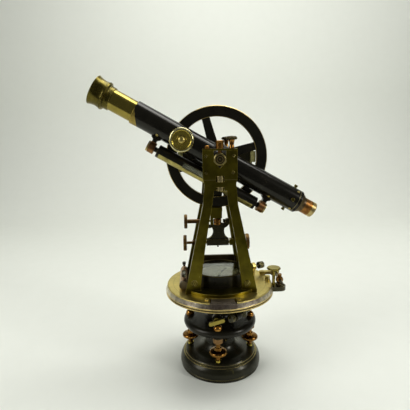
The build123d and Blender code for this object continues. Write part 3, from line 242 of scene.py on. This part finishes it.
# lacquered or bare metal: tarnish in patches, worn edges, fine grain and scratches
def metal(name, look, zones=None):
    paint = Paint(name)
    patches = paint.noise(55.0, 6.0, 0.62)
    grain = paint.noise(1500.0, 3.0, 0.6)
    scratches = paint.noise(210.0, 5.0, 0.75, (1.0, 1.0, 0.12))
    rounded, edge = paint.edge(0.45)
    limit = 0.70 - look["wear"] * 0.35
    worn = paint.step(patches * 0.65 + scratches * 0.35, limit, limit + 0.09)
    chipped = edge * look["edges"] * paint.step(scratches, 0.34, 0.56)
    bare = paint.node("ShaderNodeMath", {"operation": "MAXIMUM"}, worn * 0.75, chipped)
    shade = [channel * (1 - look["vary"]) for channel in look["coat"]] + [1.0]
    coat = paint.mix(paint.step(patches, 0.32, 0.66), shade, [*look["coat"], 1.0])
    colour = paint.mix(bare, coat, [*look["bare"], 1.0])
    duller = look["bareShine"] - look["shine"]
    rough = look["shine"] + bare * duller + grain * 0.10 + patches * 0.12 - 0.06
    metallic = look["metal"] + bare * (1 - look["metal"])
    for mask, zoneColour, zoneRough, zoneMetal in (zones(paint) if zones else []):
        dirty = [channel * 0.45 for channel in zoneColour] + [1.0]
        stains = paint.step(patches * 0.6 + scratches * 0.4, 0.42, 0.62)
        stained = paint.mix(stains, [*zoneColour, 1.0], dirty)
        colour = paint.mix(mask, colour, stained)
        rough = rough * (1 - mask) + mask * zoneRough + mask * grain * 0.1
        metallic = metallic * (1 - mask) + mask * zoneMetal
    height = grain * 0.35 + scratches * 0.4 + patches * 0.5 - bare * 0.15
    normal = paint.node("ShaderNodeBump", {})
    bump = normal.socket.node
    bump.inputs["Strength"].default_value = look["bump"] * 4
    bump.inputs["Distance"].default_value = 0.4 * mm
    paint.fill(bump.inputs["Height"], height)
    paint.fill(bump.inputs["Normal"], rounded)
    shader = paint.shader
    paint.fill(shader.inputs["Base Color"], colour)
    paint.fill(shader.inputs["Roughness"], rough)
    paint.fill(shader.inputs["Metallic"], metallic)
    paint.fill(shader.inputs["Normal"], normal)
    shader.inputs["Coat Weight"].default_value = look["gloss"]
    shader.inputs["Specular IOR Level"].default_value = look.get("sheen", 0.5)
    shader.inputs["Specular Tint"].default_value = (1.0, 0.97, 0.86, 1.0)
    shader.inputs["Coat Roughness"].default_value = 0.12
    return paint.material


def clear(name, tint, rough, through=1.0):
    paint = Paint(name)
    smear = paint.noise(90.0, 5.0, 0.6)
    shader = paint.shader
    darker = [channel * 0.9 for channel in tint] + [1.0]
    paint.fill(shader.inputs["Base Color"], paint.mix(smear, [*tint, 1.0], darker))
    paint.fill(shader.inputs["Roughness"], smear * 0.1 + rough)
    shader.inputs["Transmission Weight"].default_value = through
    shader.inputs["IOR"].default_value = 1.5
    return paint.material


def plain(name, colour, rough):
    paint = Paint(name)
    spots = paint.noise(700.0, 3.0)
    darker = [channel * 0.5 for channel in colour] + [1.0]
    paint.fill(paint.shader.inputs["Base Color"], paint.mix(spots, [*colour, 1.0], darker))
    paint.fill(paint.shader.inputs["Roughness"], spots * 0.2 + rough)
    return paint.material


brightBrass = (0.72, 0.55, 0.20)
silver = (0.66, 0.64, 0.61)
ink = (0.012, 0.010, 0.008)


# bright beads low on the rim, a silvered bevel with its divisions, dark underside
def limbZones(paint):
    radius = paint.radius(paint.x, paint.y)
    angle = paint.degrees(paint.y, paint.x)
    beadFoot, bevelFoot = 101.4, 105.75
    outer = paint.above(radius, 67.9)
    beads = outer * paint.below(paint.z, bevelFoot) * paint.above(paint.z, beadFoot)
    bevel = outer * paint.above(paint.z, bevelFoot)
    lines = bevel * (
        paint.ticks(angle, paint.z, 108.6, 120.0, 1.0, 0.16)
        + paint.ticks(angle, paint.z, 107.2, 120.0, 10.0, 0.22)
    )
    groove = outer * paint.between(paint.z, 102.6, 104.0, 0.1)
    blotches = bevel * paint.step(paint.noise(38.0, 5.0), 0.5, 0.62) * 0.8
    return [
        (beads, brightBrass, 0.25, 1.0),
        (groove, (0.05, 0.035, 0.02), 0.4, 0.9),
        (bevel, (0.78, 0.69, 0.52), 0.24, 1.0),
        (lines, ink, 0.6, 0.0),
        (blotches, (0.15, 0.10, 0.085), 0.34, 1.0),
    ]


# brass edges and a silvered, divided ring on the side that faces the verniers
def circleZones(paint):
    height = paint.z - trunnionHeight
    radius = paint.radius(paint.x, height)
    angle = paint.degrees(height, paint.x)
    rim = paint.above(radius, 65.0)
    lip = paint.between(radius, 51.6, 52.3, 0.08) * paint.below(paint.y, 19.6)
    ring = paint.above(paint.y, 22.45) * paint.between(radius, 57.0, 64.6, 0.1)
    lines = ring * (
        paint.ticks(angle, radius, 57.0, 60.0, 1.0, 0.14)
        + paint.ticks(angle, radius, 57.0, 61.6, 10.0, 0.2)
    )
    return [
        (rim, brightBrass, 0.28, 1.0),
        (lip, brightBrass, 0.3, 1.0),
        (ring, silver, 0.3, 1.0),
        (lines, ink, 0.6, 0.0),
    ]


def vernierZones(paint):
    radius = paint.radius(paint.x, paint.y)
    angle = paint.degrees(paint.y, paint.x)
    lines = paint.above(paint.z, 110.0) * (
        paint.ticks(angle, radius, 64.6, 69.0, 0.96, 0.16)
        + paint.ticks(angle, radius, 63.0, 69.0, 4.8, 0.2)
    )
    return [(lines, ink, 0.6, 0.0)]


def dialZones(paint):
    radius = paint.radius(paint.x, paint.y)
    angle = paint.degrees(paint.y, paint.x)
    degreeLines = paint.ticks(angle, radius, 27.4, 29.6, 1.0, 0.3)
    tenDegreeLines = paint.ticks(angle, radius, 27.4, 30.6, 10.0, 0.5)
    lines = degreeLines + tenDegreeLines
    floor = paint.below(paint.z, 116.0)
    # eight-pointed star on the floor: its reach shrinks away from each point
    fold = paint.node("ShaderNodeMath", {"operation": "PINGPONG"}, angle, 22.5)
    reach = 21.0 - fold * 0.72
    star = paint.below(radius - reach, 0.0) * floor
    circle = paint.between(radius, 22.6, 23.0, 0.05) * floor
    return [
        (lines, ink, 0.6, 0.0),
        (star * 0.8, (0.06, 0.05, 0.04), 0.5, 0.2),
        (circle, ink, 0.6, 0.0),
    ]


# a dark bezel round the glass
def boxZones(paint):
    return [(paint.above(paint.z, 130.45), (0.10, 0.08, 0.03), 0.3, 1.0)]


def stationOf(paint):
    return paint.x * math.cos(tilt) - (paint.z - trunnionHeight) * math.sin(tilt)


def offsetOf(paint):
    return paint.x * math.sin(tilt) + (paint.z - trunnionHeight) * math.cos(tilt)


# the mouth of the tube is worn down to its brass, its eye end has a pale ring and a dark end face
def tubeZones(paint):
    station = stationOf(paint)
    wander = paint.noise(120.0, 4.0) * 4 - 2
    lowSide = offsetOf(paint) * 0.6
    return [
        (paint.below(station + wander + lowSide, -113.0) * 0.9, (0.45, 0.33, 0.08), 0.35, 1.0),
        (paint.above(station, 116.85), (0.10, 0.07, 0.03), 0.4, 0.9),
        (paint.between(station, 112.8, 113.2, 0.1), (0.42, 0.36, 0.18), 0.3, 1.0),
    ]


def eyepieceZones(paint):
    station = stationOf(paint)
    return [
        (paint.below(station, 125.0), (0.15, 0.10, 0.055), 0.3, 1.0),
        (paint.between(station, 125.0, 133.5, 0.8), (0.34, 0.15, 0.04), 0.3, 1.0),
        (paint.above(station, 134.3), (0.62, 0.47, 0.2), 0.3, 1.0),
    ]


def levelZones(paint):
    band = paint.below(offsetOf(paint), -30.2) * paint.between(stationOf(paint), -66.0, 66.0, 0.4)
    return [(band, (0.50, 0.43, 0.14), 0.3, 1.0)]


def needleZones(paint):
    along = paint.x * math.cos(math.radians(62.0)) + paint.y * math.sin(math.radians(62.0))
    return [(paint.above(along, 2.4), (0.02, 0.03, 0.08), 0.3, 0.8)]


# brass journals; on each end a darker centre is painted shade of its recess, then a bright ring, and a
# black disc is painted shade in the centre hole
def journalZones(paint):
    side = paint.node("ShaderNodeMath", {"operation": "ABSOLUTE"}, paint.y)
    radius = paint.radius(paint.x, paint.z - trunnionHeight)
    end = paint.above(side, 37.4)
    return [
        (paint.above(side, 29.7), (0.42, 0.34, 0.13), 0.25, 1.0),
        (end * paint.below(radius, 5.2), (0.09, 0.065, 0.03), 0.3, 1.0),
        (end * paint.between(radius, 3.2, 3.7, 0.1), (0.5, 0.4, 0.16), 0.3, 1.0),
        (end * paint.below(radius, 1.2), (0.01, 0.01, 0.008), 0.5, 0.3),
    ]


# cap screws: copper-brown stem, dark milled disc
def capKnobZones(paint):
    return [(paint.above(paint.z, 296.2), (0.045, 0.036, 0.018), 0.25, 0.9)]


# nuts and washers of the level's posts
def postZones(paint):
    station = paint.node("ShaderNodeMath", {"operation": "ABSOLUTE"}, stationOf(paint))
    low = paint.below(offsetOf(paint), -20.2)
    return [
        (low * paint.below(station, 81.6), (0.26, 0.13, 0.05), 0.3, 1.0),
        (low * paint.above(station, 81.6), (0.62, 0.50, 0.22), 0.25, 1.0),
    ]


# the two vernier blocks on the ends of the frame's arms
def frameZones(paint):
    side = paint.node("ShaderNodeMath", {"operation": "ABSOLUTE"}, paint.x)
    height = paint.z - trunnionHeight
    block = paint.above(side, 44.4) * paint.below(paint.y, 26.3)
    lines = block * paint.below(side, 47.6) * paint.below(paint.fraction(height / 1.1 + 40), 0.2)
    return [(block, (0.90, 0.84, 0.30), 0.6, 0.0), (lines, ink, 0.6, 0.0)]


def plateLevelZones(paint):
    end = paint.node("ShaderNodeMath", {"operation": "ABSOLUTE"}, paint.y - 1.6)
    high = paint.above(paint.z, 127.2)
    dark = (0.035, 0.028, 0.018)
    return [
        (paint.between(end, 24.6, 27.45, 0.2), dark, 0.25, 0.6),
        (paint.above(end, 27.45), (0.30, 0.24, 0.15), 0.35, 0.9),
        (high, dark, 0.3, 0.8),
    ]


# a scribed line under the bearing, where the head meets the legs
def standardZones(paint):
    side = paint.node("ShaderNodeMath", {"operation": "ABSOLUTE"}, paint.x)
    line = paint.between(paint.z, 250.6, 251.0, 0.12) * paint.below(side, 19.0)
    return [(line, (0.46, 0.38, 0.17), 0.3, 1.0)]


# the rail that joins the rear legs is painted nearly black: painted shade, as the rail lies in the shadow
# of the parts in front of it
def rearZones(paint):
    side = paint.node("ShaderNodeMath", {"operation": "ABSOLUTE"}, paint.x)
    railShade = paint.between(paint.z, 116.0, 137.2, 0.1) * paint.below(side, 26.2)
    return [*standardZones(paint), (railShade, (0.055, 0.038, 0.016), 0.35, 0.8)]


# bright adjusting nuts below the bearings
def bearingScrewZones(paint):
    return [(paint.below(paint.z, 262.0), (0.72, 0.58, 0.27), 0.2, 1.0)]


# copper-brown sleeves of the levelling screws under the plate
def upperPlateZones(paint):
    radius = paint.radius(paint.x, paint.y)
    sleeve = paint.above(radius, 31.0) * paint.below(paint.z, 54.4)
    return [(sleeve, (0.30, 0.17, 0.07), 0.28, 1.0)]


# painted shade in the dish and a painted highlight on the rim of the focusing knob's face
def knobZones(paint):
    radius = paint.radius(stationOf(paint) - focusStation, offsetOf(paint) - focusOffset)
    face = paint.below(paint.y, -21.0)
    dishShade = paint.between(radius, 5.2, 10.8, 0.3)
    rim = paint.above(radius, 12.0)
    return [
        (dishShade * face, (0.30, 0.235, 0.075), 0.16, 1.0),
        (rim * face, (0.72, 0.66, 0.36), 0.2, 1.0),
    ]


# pale brass lines on the arrises of the base: partly wear, partly painted highlight where the light catches
# the steps
def baseZones(paint):
    radius = paint.radius(paint.x, paint.y)
    arrisWearAndHighlight = (
        paint.between(paint.z, 3.0, 3.8, 0.1) + paint.between(paint.z, 16.5, 16.7, 0.05)
        + paint.between(paint.z, 19.1, 19.3, 0.05)
    )
    wander = paint.step(paint.noise(60.0, 3.0), 0.2, 0.5) * 0.6 + 0.3
    return [(arrisWearAndHighlight * paint.above(radius, 40.0) * wander, (0.55, 0.46, 0.2), 0.3, 1.0)]


# engraved rings in the flat top that the standards stand on
def plateZones(paint):
    radius = paint.radius(paint.x, paint.y)
    rings = paint.between(radius, 66.9, 67.2, 0.05) + paint.between(radius, 60.2, 60.4, 0.05)
    return [(rings * paint.above(paint.z, 111.9), (0.2, 0.13, 0.05), 0.4, 1.0)]


paints = {
    "black": metal("blackLacquer", looks["blackLacquer"]),
    "olive": metal("oliveBrass", looks["oliveBrass"]),
    "front": metal("frontStandard", looks["oliveBrass"], standardZones),
    "bearing": metal("bearingScrews", looks["copperBrown"], bearingScrewZones),
    "gold": metal("goldBrass", looks["goldBrass"]),
    "bronze": metal("darkBronze", looks["darkBronze"]),
    "base": metal("baseLacquer", looks["baseLacquer"], baseZones),
    "copper": metal("copperBrown", looks["copperBrown"]),
    "limb": metal("dividedLimb", looks["darkBronze"], limbZones),
    "circle": metal("dividedCircle", looks["blackLacquer"], circleZones),
    "vernier": metal("dividedVernier", looks["lilacSilver"], vernierZones),
    "drawn": metal("drawnBrass", looks["drawnBrass"]),
    "pale": metal("paleBrass", looks["paleBrass"]),
    "rear": metal("rearStandard", looks["oliveBrass"], rearZones),
    "dial": metal("compassDial", looks["silvered"], dialZones),
    "box": metal("compassBox", looks["blackLacquer"], boxZones),
    "tube": metal("telescopeTube", looks["tubeLacquer"], tubeZones),
    "eyepiece": metal("eyeTube", looks["amber"], eyepieceZones),
    "level": metal("levelSheath", looks["blackLacquer"], levelZones),
    "needle": metal("needleSteel", looks["silvered"], needleZones),
    "axis": metal("transverseAxis", looks["blackLacquer"], journalZones),
    "plate": metal("vernierPlate", looks["paleBrass"], plateZones),
    "oldGold": metal("oldGoldBrass", looks["oldGold"]),
    "darkCopper": metal("darkCopper", looks["darkCopper"]),
    "capKnob": metal("capKnob", looks["copperBrown"], capKnobZones),
    "posts": metal("levelPosts", looks["blackLacquer"], postZones),
    "frame": metal("vernierFrame", looks["darkBronze"], frameZones),
    "plateLevel": metal("plateLevel", looks["levelCase"], plateLevelZones),
    "upperPlate": metal("upperPlate", looks["blackLacquer"], upperPlateZones),
    "knob": metal("focusingKnob", looks["goldBrass"], knobZones),
    "glass": clear("clearGlass", (0.93, 0.97, 0.95), 0.01),
    "compassGlass": clear("compassGlass", (0.80, 0.82, 0.66), 0.03),
    "vial": clear("vialGlass", (0.86, 0.88, 0.62), 0.03, 0.75),
    "bubble": clear("airBubble", (0.98, 1.0, 0.95), 0.02, 0.6),
    # near-black paint: painted shade in the capstan holes, and the real dark colour of the cross hairs
    "dark": plain("holeShadeAndHairs", (0.01, 0.008, 0.006), 0.6),
}

paintOf = {
    "lower_parallel_plate": "base", "ball_seat_ring": "gold", "half_ball": "gold",
    "upper_parallel_plate": "upperPlate", "levelling_screw_caps": "copper", "lower_clamp_collar": "black",
    "lower_clamp_screw": "drawn", "lower_tangent_screw": "bronze", "horizontal_limb": "limb",
    "outer_axis": "gold", "upper_clamp": "bronze", "upper_clamp_screw": "drawn",
    "upper_tangent_screw": "bronze", "tangent_ball_nut": "copper", "vernier_plate": "plate",
    "inner_axis": "gold", "plate_verniers": "vernier", "compass_box": "box", "compass_dial": "dial",
    "compass_glass": "compassGlass", "compass_needle": "needle", "needle_lifter_screw": "bronze",
    "front_standard": "front", "rear_standard": "rear", "bearing_caps": "olive",
    "front_cap_knob": "capKnob", "rear_cap_knob": "capKnob", "bearing_screws": "bearing",
    "transverse_axis": "axis", "telescope_tube": "tube", "vertical_circle": "circle",
    "focus_knob": "knob", "focus_pinion": "gold", "draw_tube": "drawn", "objective_cell": "oldGold",
    "ray_shade": "oldGold", "objective_lens": "glass", "eyepiece_tube": "eyepiece",
    "eyepiece_lens": "glass", "reticle_ring": "gold", "reticle_screws": "oldGold",
    "telescope_level": "level", "level_vial": "vial", "level_posts": "posts",
    "vernier_frame": "frame", "clip_screw_left": "darkCopper", "clip_screw_right": "darkCopper",
    "circle_clamp": "olive", "circle_clamp_screw": "copper", "vertical_tangent_screw": "darkCopper",
    "plate_level": "plateLevel", "plate_level_vial": "vial",
}
for number in range(1, 5):
    paintOf[f"levelling_screw_{number}"] = "copper"
    paintOf[f"levelling_foot_{number}"] = "gold"

for name, node in nodes.items():
    node.data.materials.clear()
    node.data.materials.append(paints[paintOf[name]])
print("stage: finishes on", len(nodes), "pieces")


# local Z turned to a direction, the origin at a place in mm
def facing(place, direction, spin=0.0):
    turned = Vector(direction).to_track_quat("Z", "Y").to_matrix().to_4x4()
    return Matrix.Translation(Vector(place) * mm) @ turned @ Matrix.Rotation(math.radians(spin), 4, "Z")


def makePiece(name, bm, paint, body):
    bmesh.ops.remove_doubles(bm, verts=bm.verts, dist=0.0005 * mm)
    bmesh.ops.recalc_face_normals(bm, faces=bm.faces)
    mesh = bpy.data.meshes.new(name)
    bm.to_mesh(mesh)
    bm.free()
    mesh.polygons.foreach_set("use_smooth", [True] * len(mesh.polygons))
    mesh.set_sharp_from_angle(angle=math.radians(35))
    mesh.materials.append(paints[paint])
    piece = bpy.data.objects.new(name, mesh)
    scene.collection.objects.link(piece)
    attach(piece, body)
    return piece


def addRod(bm, place, radius, length, segments=24, top=None):
    made = bmesh.ops.create_cone(
        bm, cap_ends=True, segments=segments, radius1=radius * mm,
        radius2=(radius if top is None else top) * mm, depth=length * mm,
        matrix=place @ Matrix.Translation((0, 0, length * mm / 2)),
    )
    return made["verts"]


# fluted band round a knob: every second point of a fine prism stands in
def addMilling(bm, place, radius, length, teeth, depth):
    verts = bmesh.ops.create_cone(
        bm, cap_ends=True, segments=2 * teeth,
        radius1=radius * mm, radius2=radius * mm, depth=length * mm,
    )["verts"]
    for vert in verts:
        turn = round(math.atan2(vert.co.y, vert.co.x) / math.pi * teeth)
        if turn % 2:
            vert.co.xy *= (radius - depth) / radius
    bmesh.ops.transform(bm, matrix=place @ Matrix.Translation((0, 0, length * mm / 2)), verts=verts)


# cheese head with an open slot: a disc below and two half discs above
def addSlottedHead(bm, place, radius, height, slot=0.22, depth=0.45):
    low = height * (1 - depth)
    addRod(bm, place, radius, low)
    for side in (1, -1):
        before = set(bm.verts)
        addRod(bm, Matrix.Translation((0, 0, low * mm)), radius, height - low, 24, radius * 0.88)
        fresh = [vert for vert in bm.verts if vert not in before]
        edges = {edge for vert in fresh for edge in vert.link_edges}
        faces = {face for vert in fresh for face in vert.link_faces}
        cut = bmesh.ops.bisect_plane(
            bm, geom=[*fresh, *edges, *faces], plane_co=(side * slot * radius * mm, 0, 0),
            plane_no=(side, 0, 0), clear_inner=True,
        )["geom_cut"]
        bmesh.ops.contextual_create(bm, geom=[item for item in cut if isinstance(item, bmesh.types.BMEdge)])
        fresh = [vert for vert in bm.verts if vert not in before]
        bmesh.ops.transform(bm, matrix=place, verts=fresh)


def milled(name, place, radius, length, teeth, depth, paint, body):
    bm = bmesh.new()
    addMilling(bm, place, radius, length, teeth, depth)
    return makePiece(name, bm, paint, body)


# milled edges of the knobs: place, direction, radius, length, teeth
up = (0, 0, 1)
for number in range(1, 5):
    spot = polar(levelHeadRadius, levelHeadBearing + 90 * (number - 1), 33.5)
    milled(
        f"levelling_milling_{number}", facing(spot, up), 10.95, 2.4, 44, 0.5,
        "copper", f"screw_{number}",
    )
focusSpot = tubePoint(focusStation, focusOffset, -21.0)
lowerTangent = math.radians(lowerTangentBearing)
tangentWay = (math.sin(lowerTangent), -math.cos(lowerTangent), 0)
tangentHead = Vector(polar(44.0, lowerTangentBearing, 84.0)) + Vector(tangentWay) * 20.4
lifterWay = polar(1.0, lifterBearing)
lifterHead = polar(63.0, lifterBearing, 123.5)
clipLeft = (-42.9, frameScrewDepth, clipHeight)
clipRight = (39.3, frameScrewDepth, clipHeight)
slowMotionHead = (-41.4, frameScrewDepth, slowMotionHeight)
left, right = (-1, 0, 0), (1, 0, 0)
front, rear = (0, -1, 0), (0, 1, 0)
knobs = {
    "upper_clamp_milling": (
        (72.4, 0, 127.5), up, 9.0, 1.1, 56, "drawn", "upper_clamp_knob", "upper_clamp_screw",
    ),
    "front_cap_milling": (
        (13.8, -34, 297.3), up, 6.4, 1.7, 44, "bronze", "cap_knob_front", "front_cap_knob",
    ),
    "rear_cap_milling": (
        (13.8, 34, 297.3), up, 6.4, 1.7, 44, "bronze", "cap_knob_rear", "rear_cap_knob",
    ),
    "focus_milling": (focusSpot, front, 14.75, 2.4, 84, "gold", "focus", "focus_knob"),
    "clip_left_milling": (clipLeft, left, 10.7, 2.8, 60, "darkCopper", "clip_left", "clip_screw_left"),
    "clip_right_milling": (
        clipRight, right, 10.7, 2.8, 60, "darkCopper", "clip_right", "clip_screw_right",
    ),
    "vertical_tangent_milling": (
        slowMotionHead, left, 9.6, 2.6, 56, "darkCopper", "vertical_tangent", "vertical_tangent_screw",
    ),
    "upper_tangent_milling": (
        (80.3, 31.7, 112.2), rear, 7.2, 2.2, 44, "bronze", "upper_tangent", "upper_tangent_screw",
    ),
    "lower_tangent_milling": (
        tangentHead, tangentWay, 5.2, 3.0, 36, "bronze", "lower_tangent", "lower_tangent_screw",
    ),
    "lifter_milling": (lifterHead, lifterWay, 4.75, 5.2, 32, "bronze", "lifter", "needle_lifter_screw"),
}
for name, (place, way, radius, length, teeth, paint, body, slotName) in knobs.items():
    milled(name, facing(place, way), radius, length, teeth, 0.4, paint, body)
print("stage: milled edges")

# slotted screw heads on the standards, the plate and the telescope
frameScrews = []
windowScrews = []
for x, z, radius, spin in (
    (-32.7, 125.5, 4.0, 15), (31.6, 123.8, 4.0, -35), (-16.2, 278.0, 1.9, 40), (16.0, 278.0, 1.9, -20),
    (-16.4, 259.0, 1.9, 75), (15.1, 259.0, 1.9, 10),
):
    frameScrews.append(((x, -standardFace, z), front, radius, 0.9, spin))
    frameScrews.append(((x, standardFace, z), rear, radius, 0.9, spin + 50))
for side in (-1, 1):
    for end in (-1, 1):
        spot = (end * 19.2, side * 56.0, plateTop)
        windowScrews.append((spot, up, 2.2, 1.3, 30 * end + 20 * side))
tubeScrews = []
tubeRadius = 14.6
for station, offset in ((108.8, 11.3), (109.2, -11.5), (78.0, -11.0), (-78.0, -11.0)):
    across = math.sqrt(tubeRadius ** 2 - offset ** 2)
    for side in (-1, 1):
        way = Vector(tubeUp) * offset + Vector((0, side * across, 0))
        spot = tubePoint(station, offset, side * across)
        tubeScrews.append((spot, way, 1.8, 0.8, 25 * side))
screwGroups = {
    "standard_screw_heads": (frameScrews, "oldGold", "alidade", "bearing_screws"),
    "window_screw_heads": (windowScrews, "pale", "alidade", "bearing_screws"),
    "tube_screw_heads": (tubeScrews, "pale", "telescope", "reticle_screws"),
}
for name, (screws, paint, body, slotName) in screwGroups.items():
    bm = bmesh.new()
    for place, way, radius, height, spin in screws:
        addSlottedHead(bm, facing(place, way, spin), radius, height)
    makePiece(name, bm, paint, body)
print("stage: screw heads")

# domed nut in the middle of the focusing knob
bm = bmesh.new()
dome = bmesh.ops.create_uvsphere(bm, u_segments=32, v_segments=16, radius=4.1 * mm)["verts"]
bmesh.ops.scale(bm, vec=(1, 1, 0.55), verts=dome)
nutSpot = tubePoint(focusStation, focusOffset, -23.6)
bmesh.ops.transform(bm, matrix=facing(nutSpot, front), verts=dome)
makePiece("focus_knob_nut", bm, "pale", "focus")

# painted shade in the holes for a tommy bar in the capstan head of the vertical clamp: dark studs stand in
# for the holes
capstanRadius, holeRadius = 5.1, 1.1
bm = bmesh.new()
for quarter in range(4):
    side = polar(1.0, 45 + 90 * quarter)
    spot = Vector((-0.4, 20.3, 188.6)) + Vector(side) * (capstanRadius - 0.4)
    addRod(bm, facing(spot, side), holeRadius, 0.45, 16)
makePiece("clamp_screw_hole_shade", bm, "dark", "vertical_clamp_knob")

# cross hairs on the reticle ring
bm = bmesh.new()
hairRadius, hairLength, reticleStation = 0.08, 16.2, 102.5
for way in (tubeUp, rear):
    start = Vector(tubePoint(reticleStation, 0.0)) - Vector(way) * (hairLength / 2)
    addRod(bm, facing(start, way), hairRadius, hairLength, 8)
makePiece("cross_hairs", bm, "dark", "telescope")

# the bubble of the plate level
bm = bmesh.new()
bmesh.ops.create_uvsphere(
    bm, u_segments=24, v_segments=12, radius=1.0 * mm,
    matrix=Matrix.Translation(Vector((-46.4, 1.5, 121.0)) * mm) @ Matrix.Diagonal((1.7, 6.0, 1.2, 1.0)),
)
makePiece("plate_level_bubble", bm, "bubble", "alidade")
print("stage: small pieces")

# photo booth: a pale sweep of paper, soft light from above and from the left
sweep = {"near": -0.45, "far": 1.3, "bend": 0.5, "height": 1.8, "halfWidth": 1.8}
bm = bmesh.new()
bendStart, bendSteps = sweep["far"] - sweep["bend"], 12
outline = [(sweep["near"], 0.0), (bendStart, 0.0)]
for count in range(1, bendSteps + 1):
    angle = math.pi / 2 * count / bendSteps
    height = sweep["bend"] * (1 - math.cos(angle))
    outline.append((bendStart + sweep["bend"] * math.sin(angle), height))
outline.append((sweep["far"], sweep["height"]))
line = [bm.verts.new((-sweep["halfWidth"], y, z)) for y, z in outline]
edges = [bm.edges.new(pair) for pair in zip(line, line[1:])]
grown = bmesh.ops.extrude_edge_only(bm, edges=edges)["geom"]
farSide = [item for item in grown if isinstance(item, bmesh.types.BMVert)]
bmesh.ops.translate(bm, vec=(2 * sweep["halfWidth"], 0, 0), verts=farSide)
paper = bpy.data.meshes.new("paper_sweep")
bm.to_mesh(paper)
bm.free()
paper.polygons.foreach_set("use_smooth", [True] * len(paper.polygons))
sheet = bpy.data.objects.new("paper_sweep", paper)
scene.collection.objects.link(sheet)
paperPaint = Paint("palePaper")
fibres = paperPaint.noise(30.0, 5.0)
paperPaint.fill(
    paperPaint.shader.inputs["Base Color"],
    paperPaint.mix(fibres, (0.80, 0.82, 0.745, 1.0), (0.77, 0.79, 0.715, 1.0)),
)
paperPaint.fill(paperPaint.shader.inputs["Roughness"], fibres * 0.2 + 0.5)
paper.materials.append(paperPaint.material)


def addLamp(name, place, target, size, power):
    lamp = bpy.data.lights.new(name, "AREA")
    lamp.shape = "RECTANGLE"
    lamp.size, lamp.size_y = size
    lamp.energy = power
    lampObject = bpy.data.objects.new(name, lamp)
    lampObject.location = place
    way = Vector(target) - Vector(place)
    lampObject.rotation_euler = way.to_track_quat("-Z", "Y").to_euler()
    scene.collection.objects.link(lampObject)


lamps = {
    "left_softbox": ((-1.0, -0.45, 0.75), (0, 0, 0.2), (0.5, 0.8), 6.5),
    "top_softbox": ((0.3, 0.34, 1.6), (0.05, 0.0, 0.0), (1.6, 0.7), 13.5),
    "front_fill": ((1.0, -0.6, 0.6), (0, 0, 0.12), (0.15, 0.4), 4.5),
    "backdrop_light": ((0.4, 0.2, 1.5), (0.2, 1.3, 0.5), (1.6, 0.4), 9.0),
}
for name, (place, target, size, power) in lamps.items():
    addLamp(name, place, target, size, power)

world = bpy.data.worlds.new("studio")
scene.world = world
world.use_nodes = True
world.node_tree.nodes["Background"].inputs["Color"].default_value = (0.82, 0.84, 0.78, 1.0)
world.node_tree.nodes["Background"].inputs["Strength"].default_value = 0.14

# the camera that took the photo, found from the plate, the standards and the base
view = {
    "place": (-31.2, -452.3, 295.6), "yaw": -1.635, "pitch": 10.082, "roll": -1.081,
    "focalPixels": 360.876, "photoPixels": 410, "centreX": 204.0,
}
yaw, pitch, roll = (math.radians(view[key]) for key in ("yaw", "pitch", "roll"))
forward = Vector((
    -math.sin(yaw) * math.cos(pitch), math.cos(yaw) * math.cos(pitch), -math.sin(pitch),
))
level = Vector((math.cos(yaw), math.sin(yaw), 0))
above = level.cross(forward)
sideways = level * math.cos(roll) + above * math.sin(roll)
upwards = above * math.cos(roll) - level * math.sin(roll)
cameraData = bpy.data.cameras.new("photo_camera")
cameraData.sensor_width = 36.0
cameraData.lens = view["focalPixels"] * cameraData.sensor_width / view["photoPixels"]
cameraData.shift_x = (view["photoPixels"] / 2 - view["centreX"]) / view["photoPixels"]
cameraData.clip_start = 0.01
camera = bpy.data.objects.new("photo_camera", cameraData)
camera.matrix_world = (
    Matrix.Translation(Vector(view["place"]) * mm)
    @ Matrix((sideways, upwards, -forward)).transposed().to_4x4()
)
scene.collection.objects.link(camera)
scene.camera = camera
scene.view_settings.view_transform = "Standard"
print("stage: camera and light")
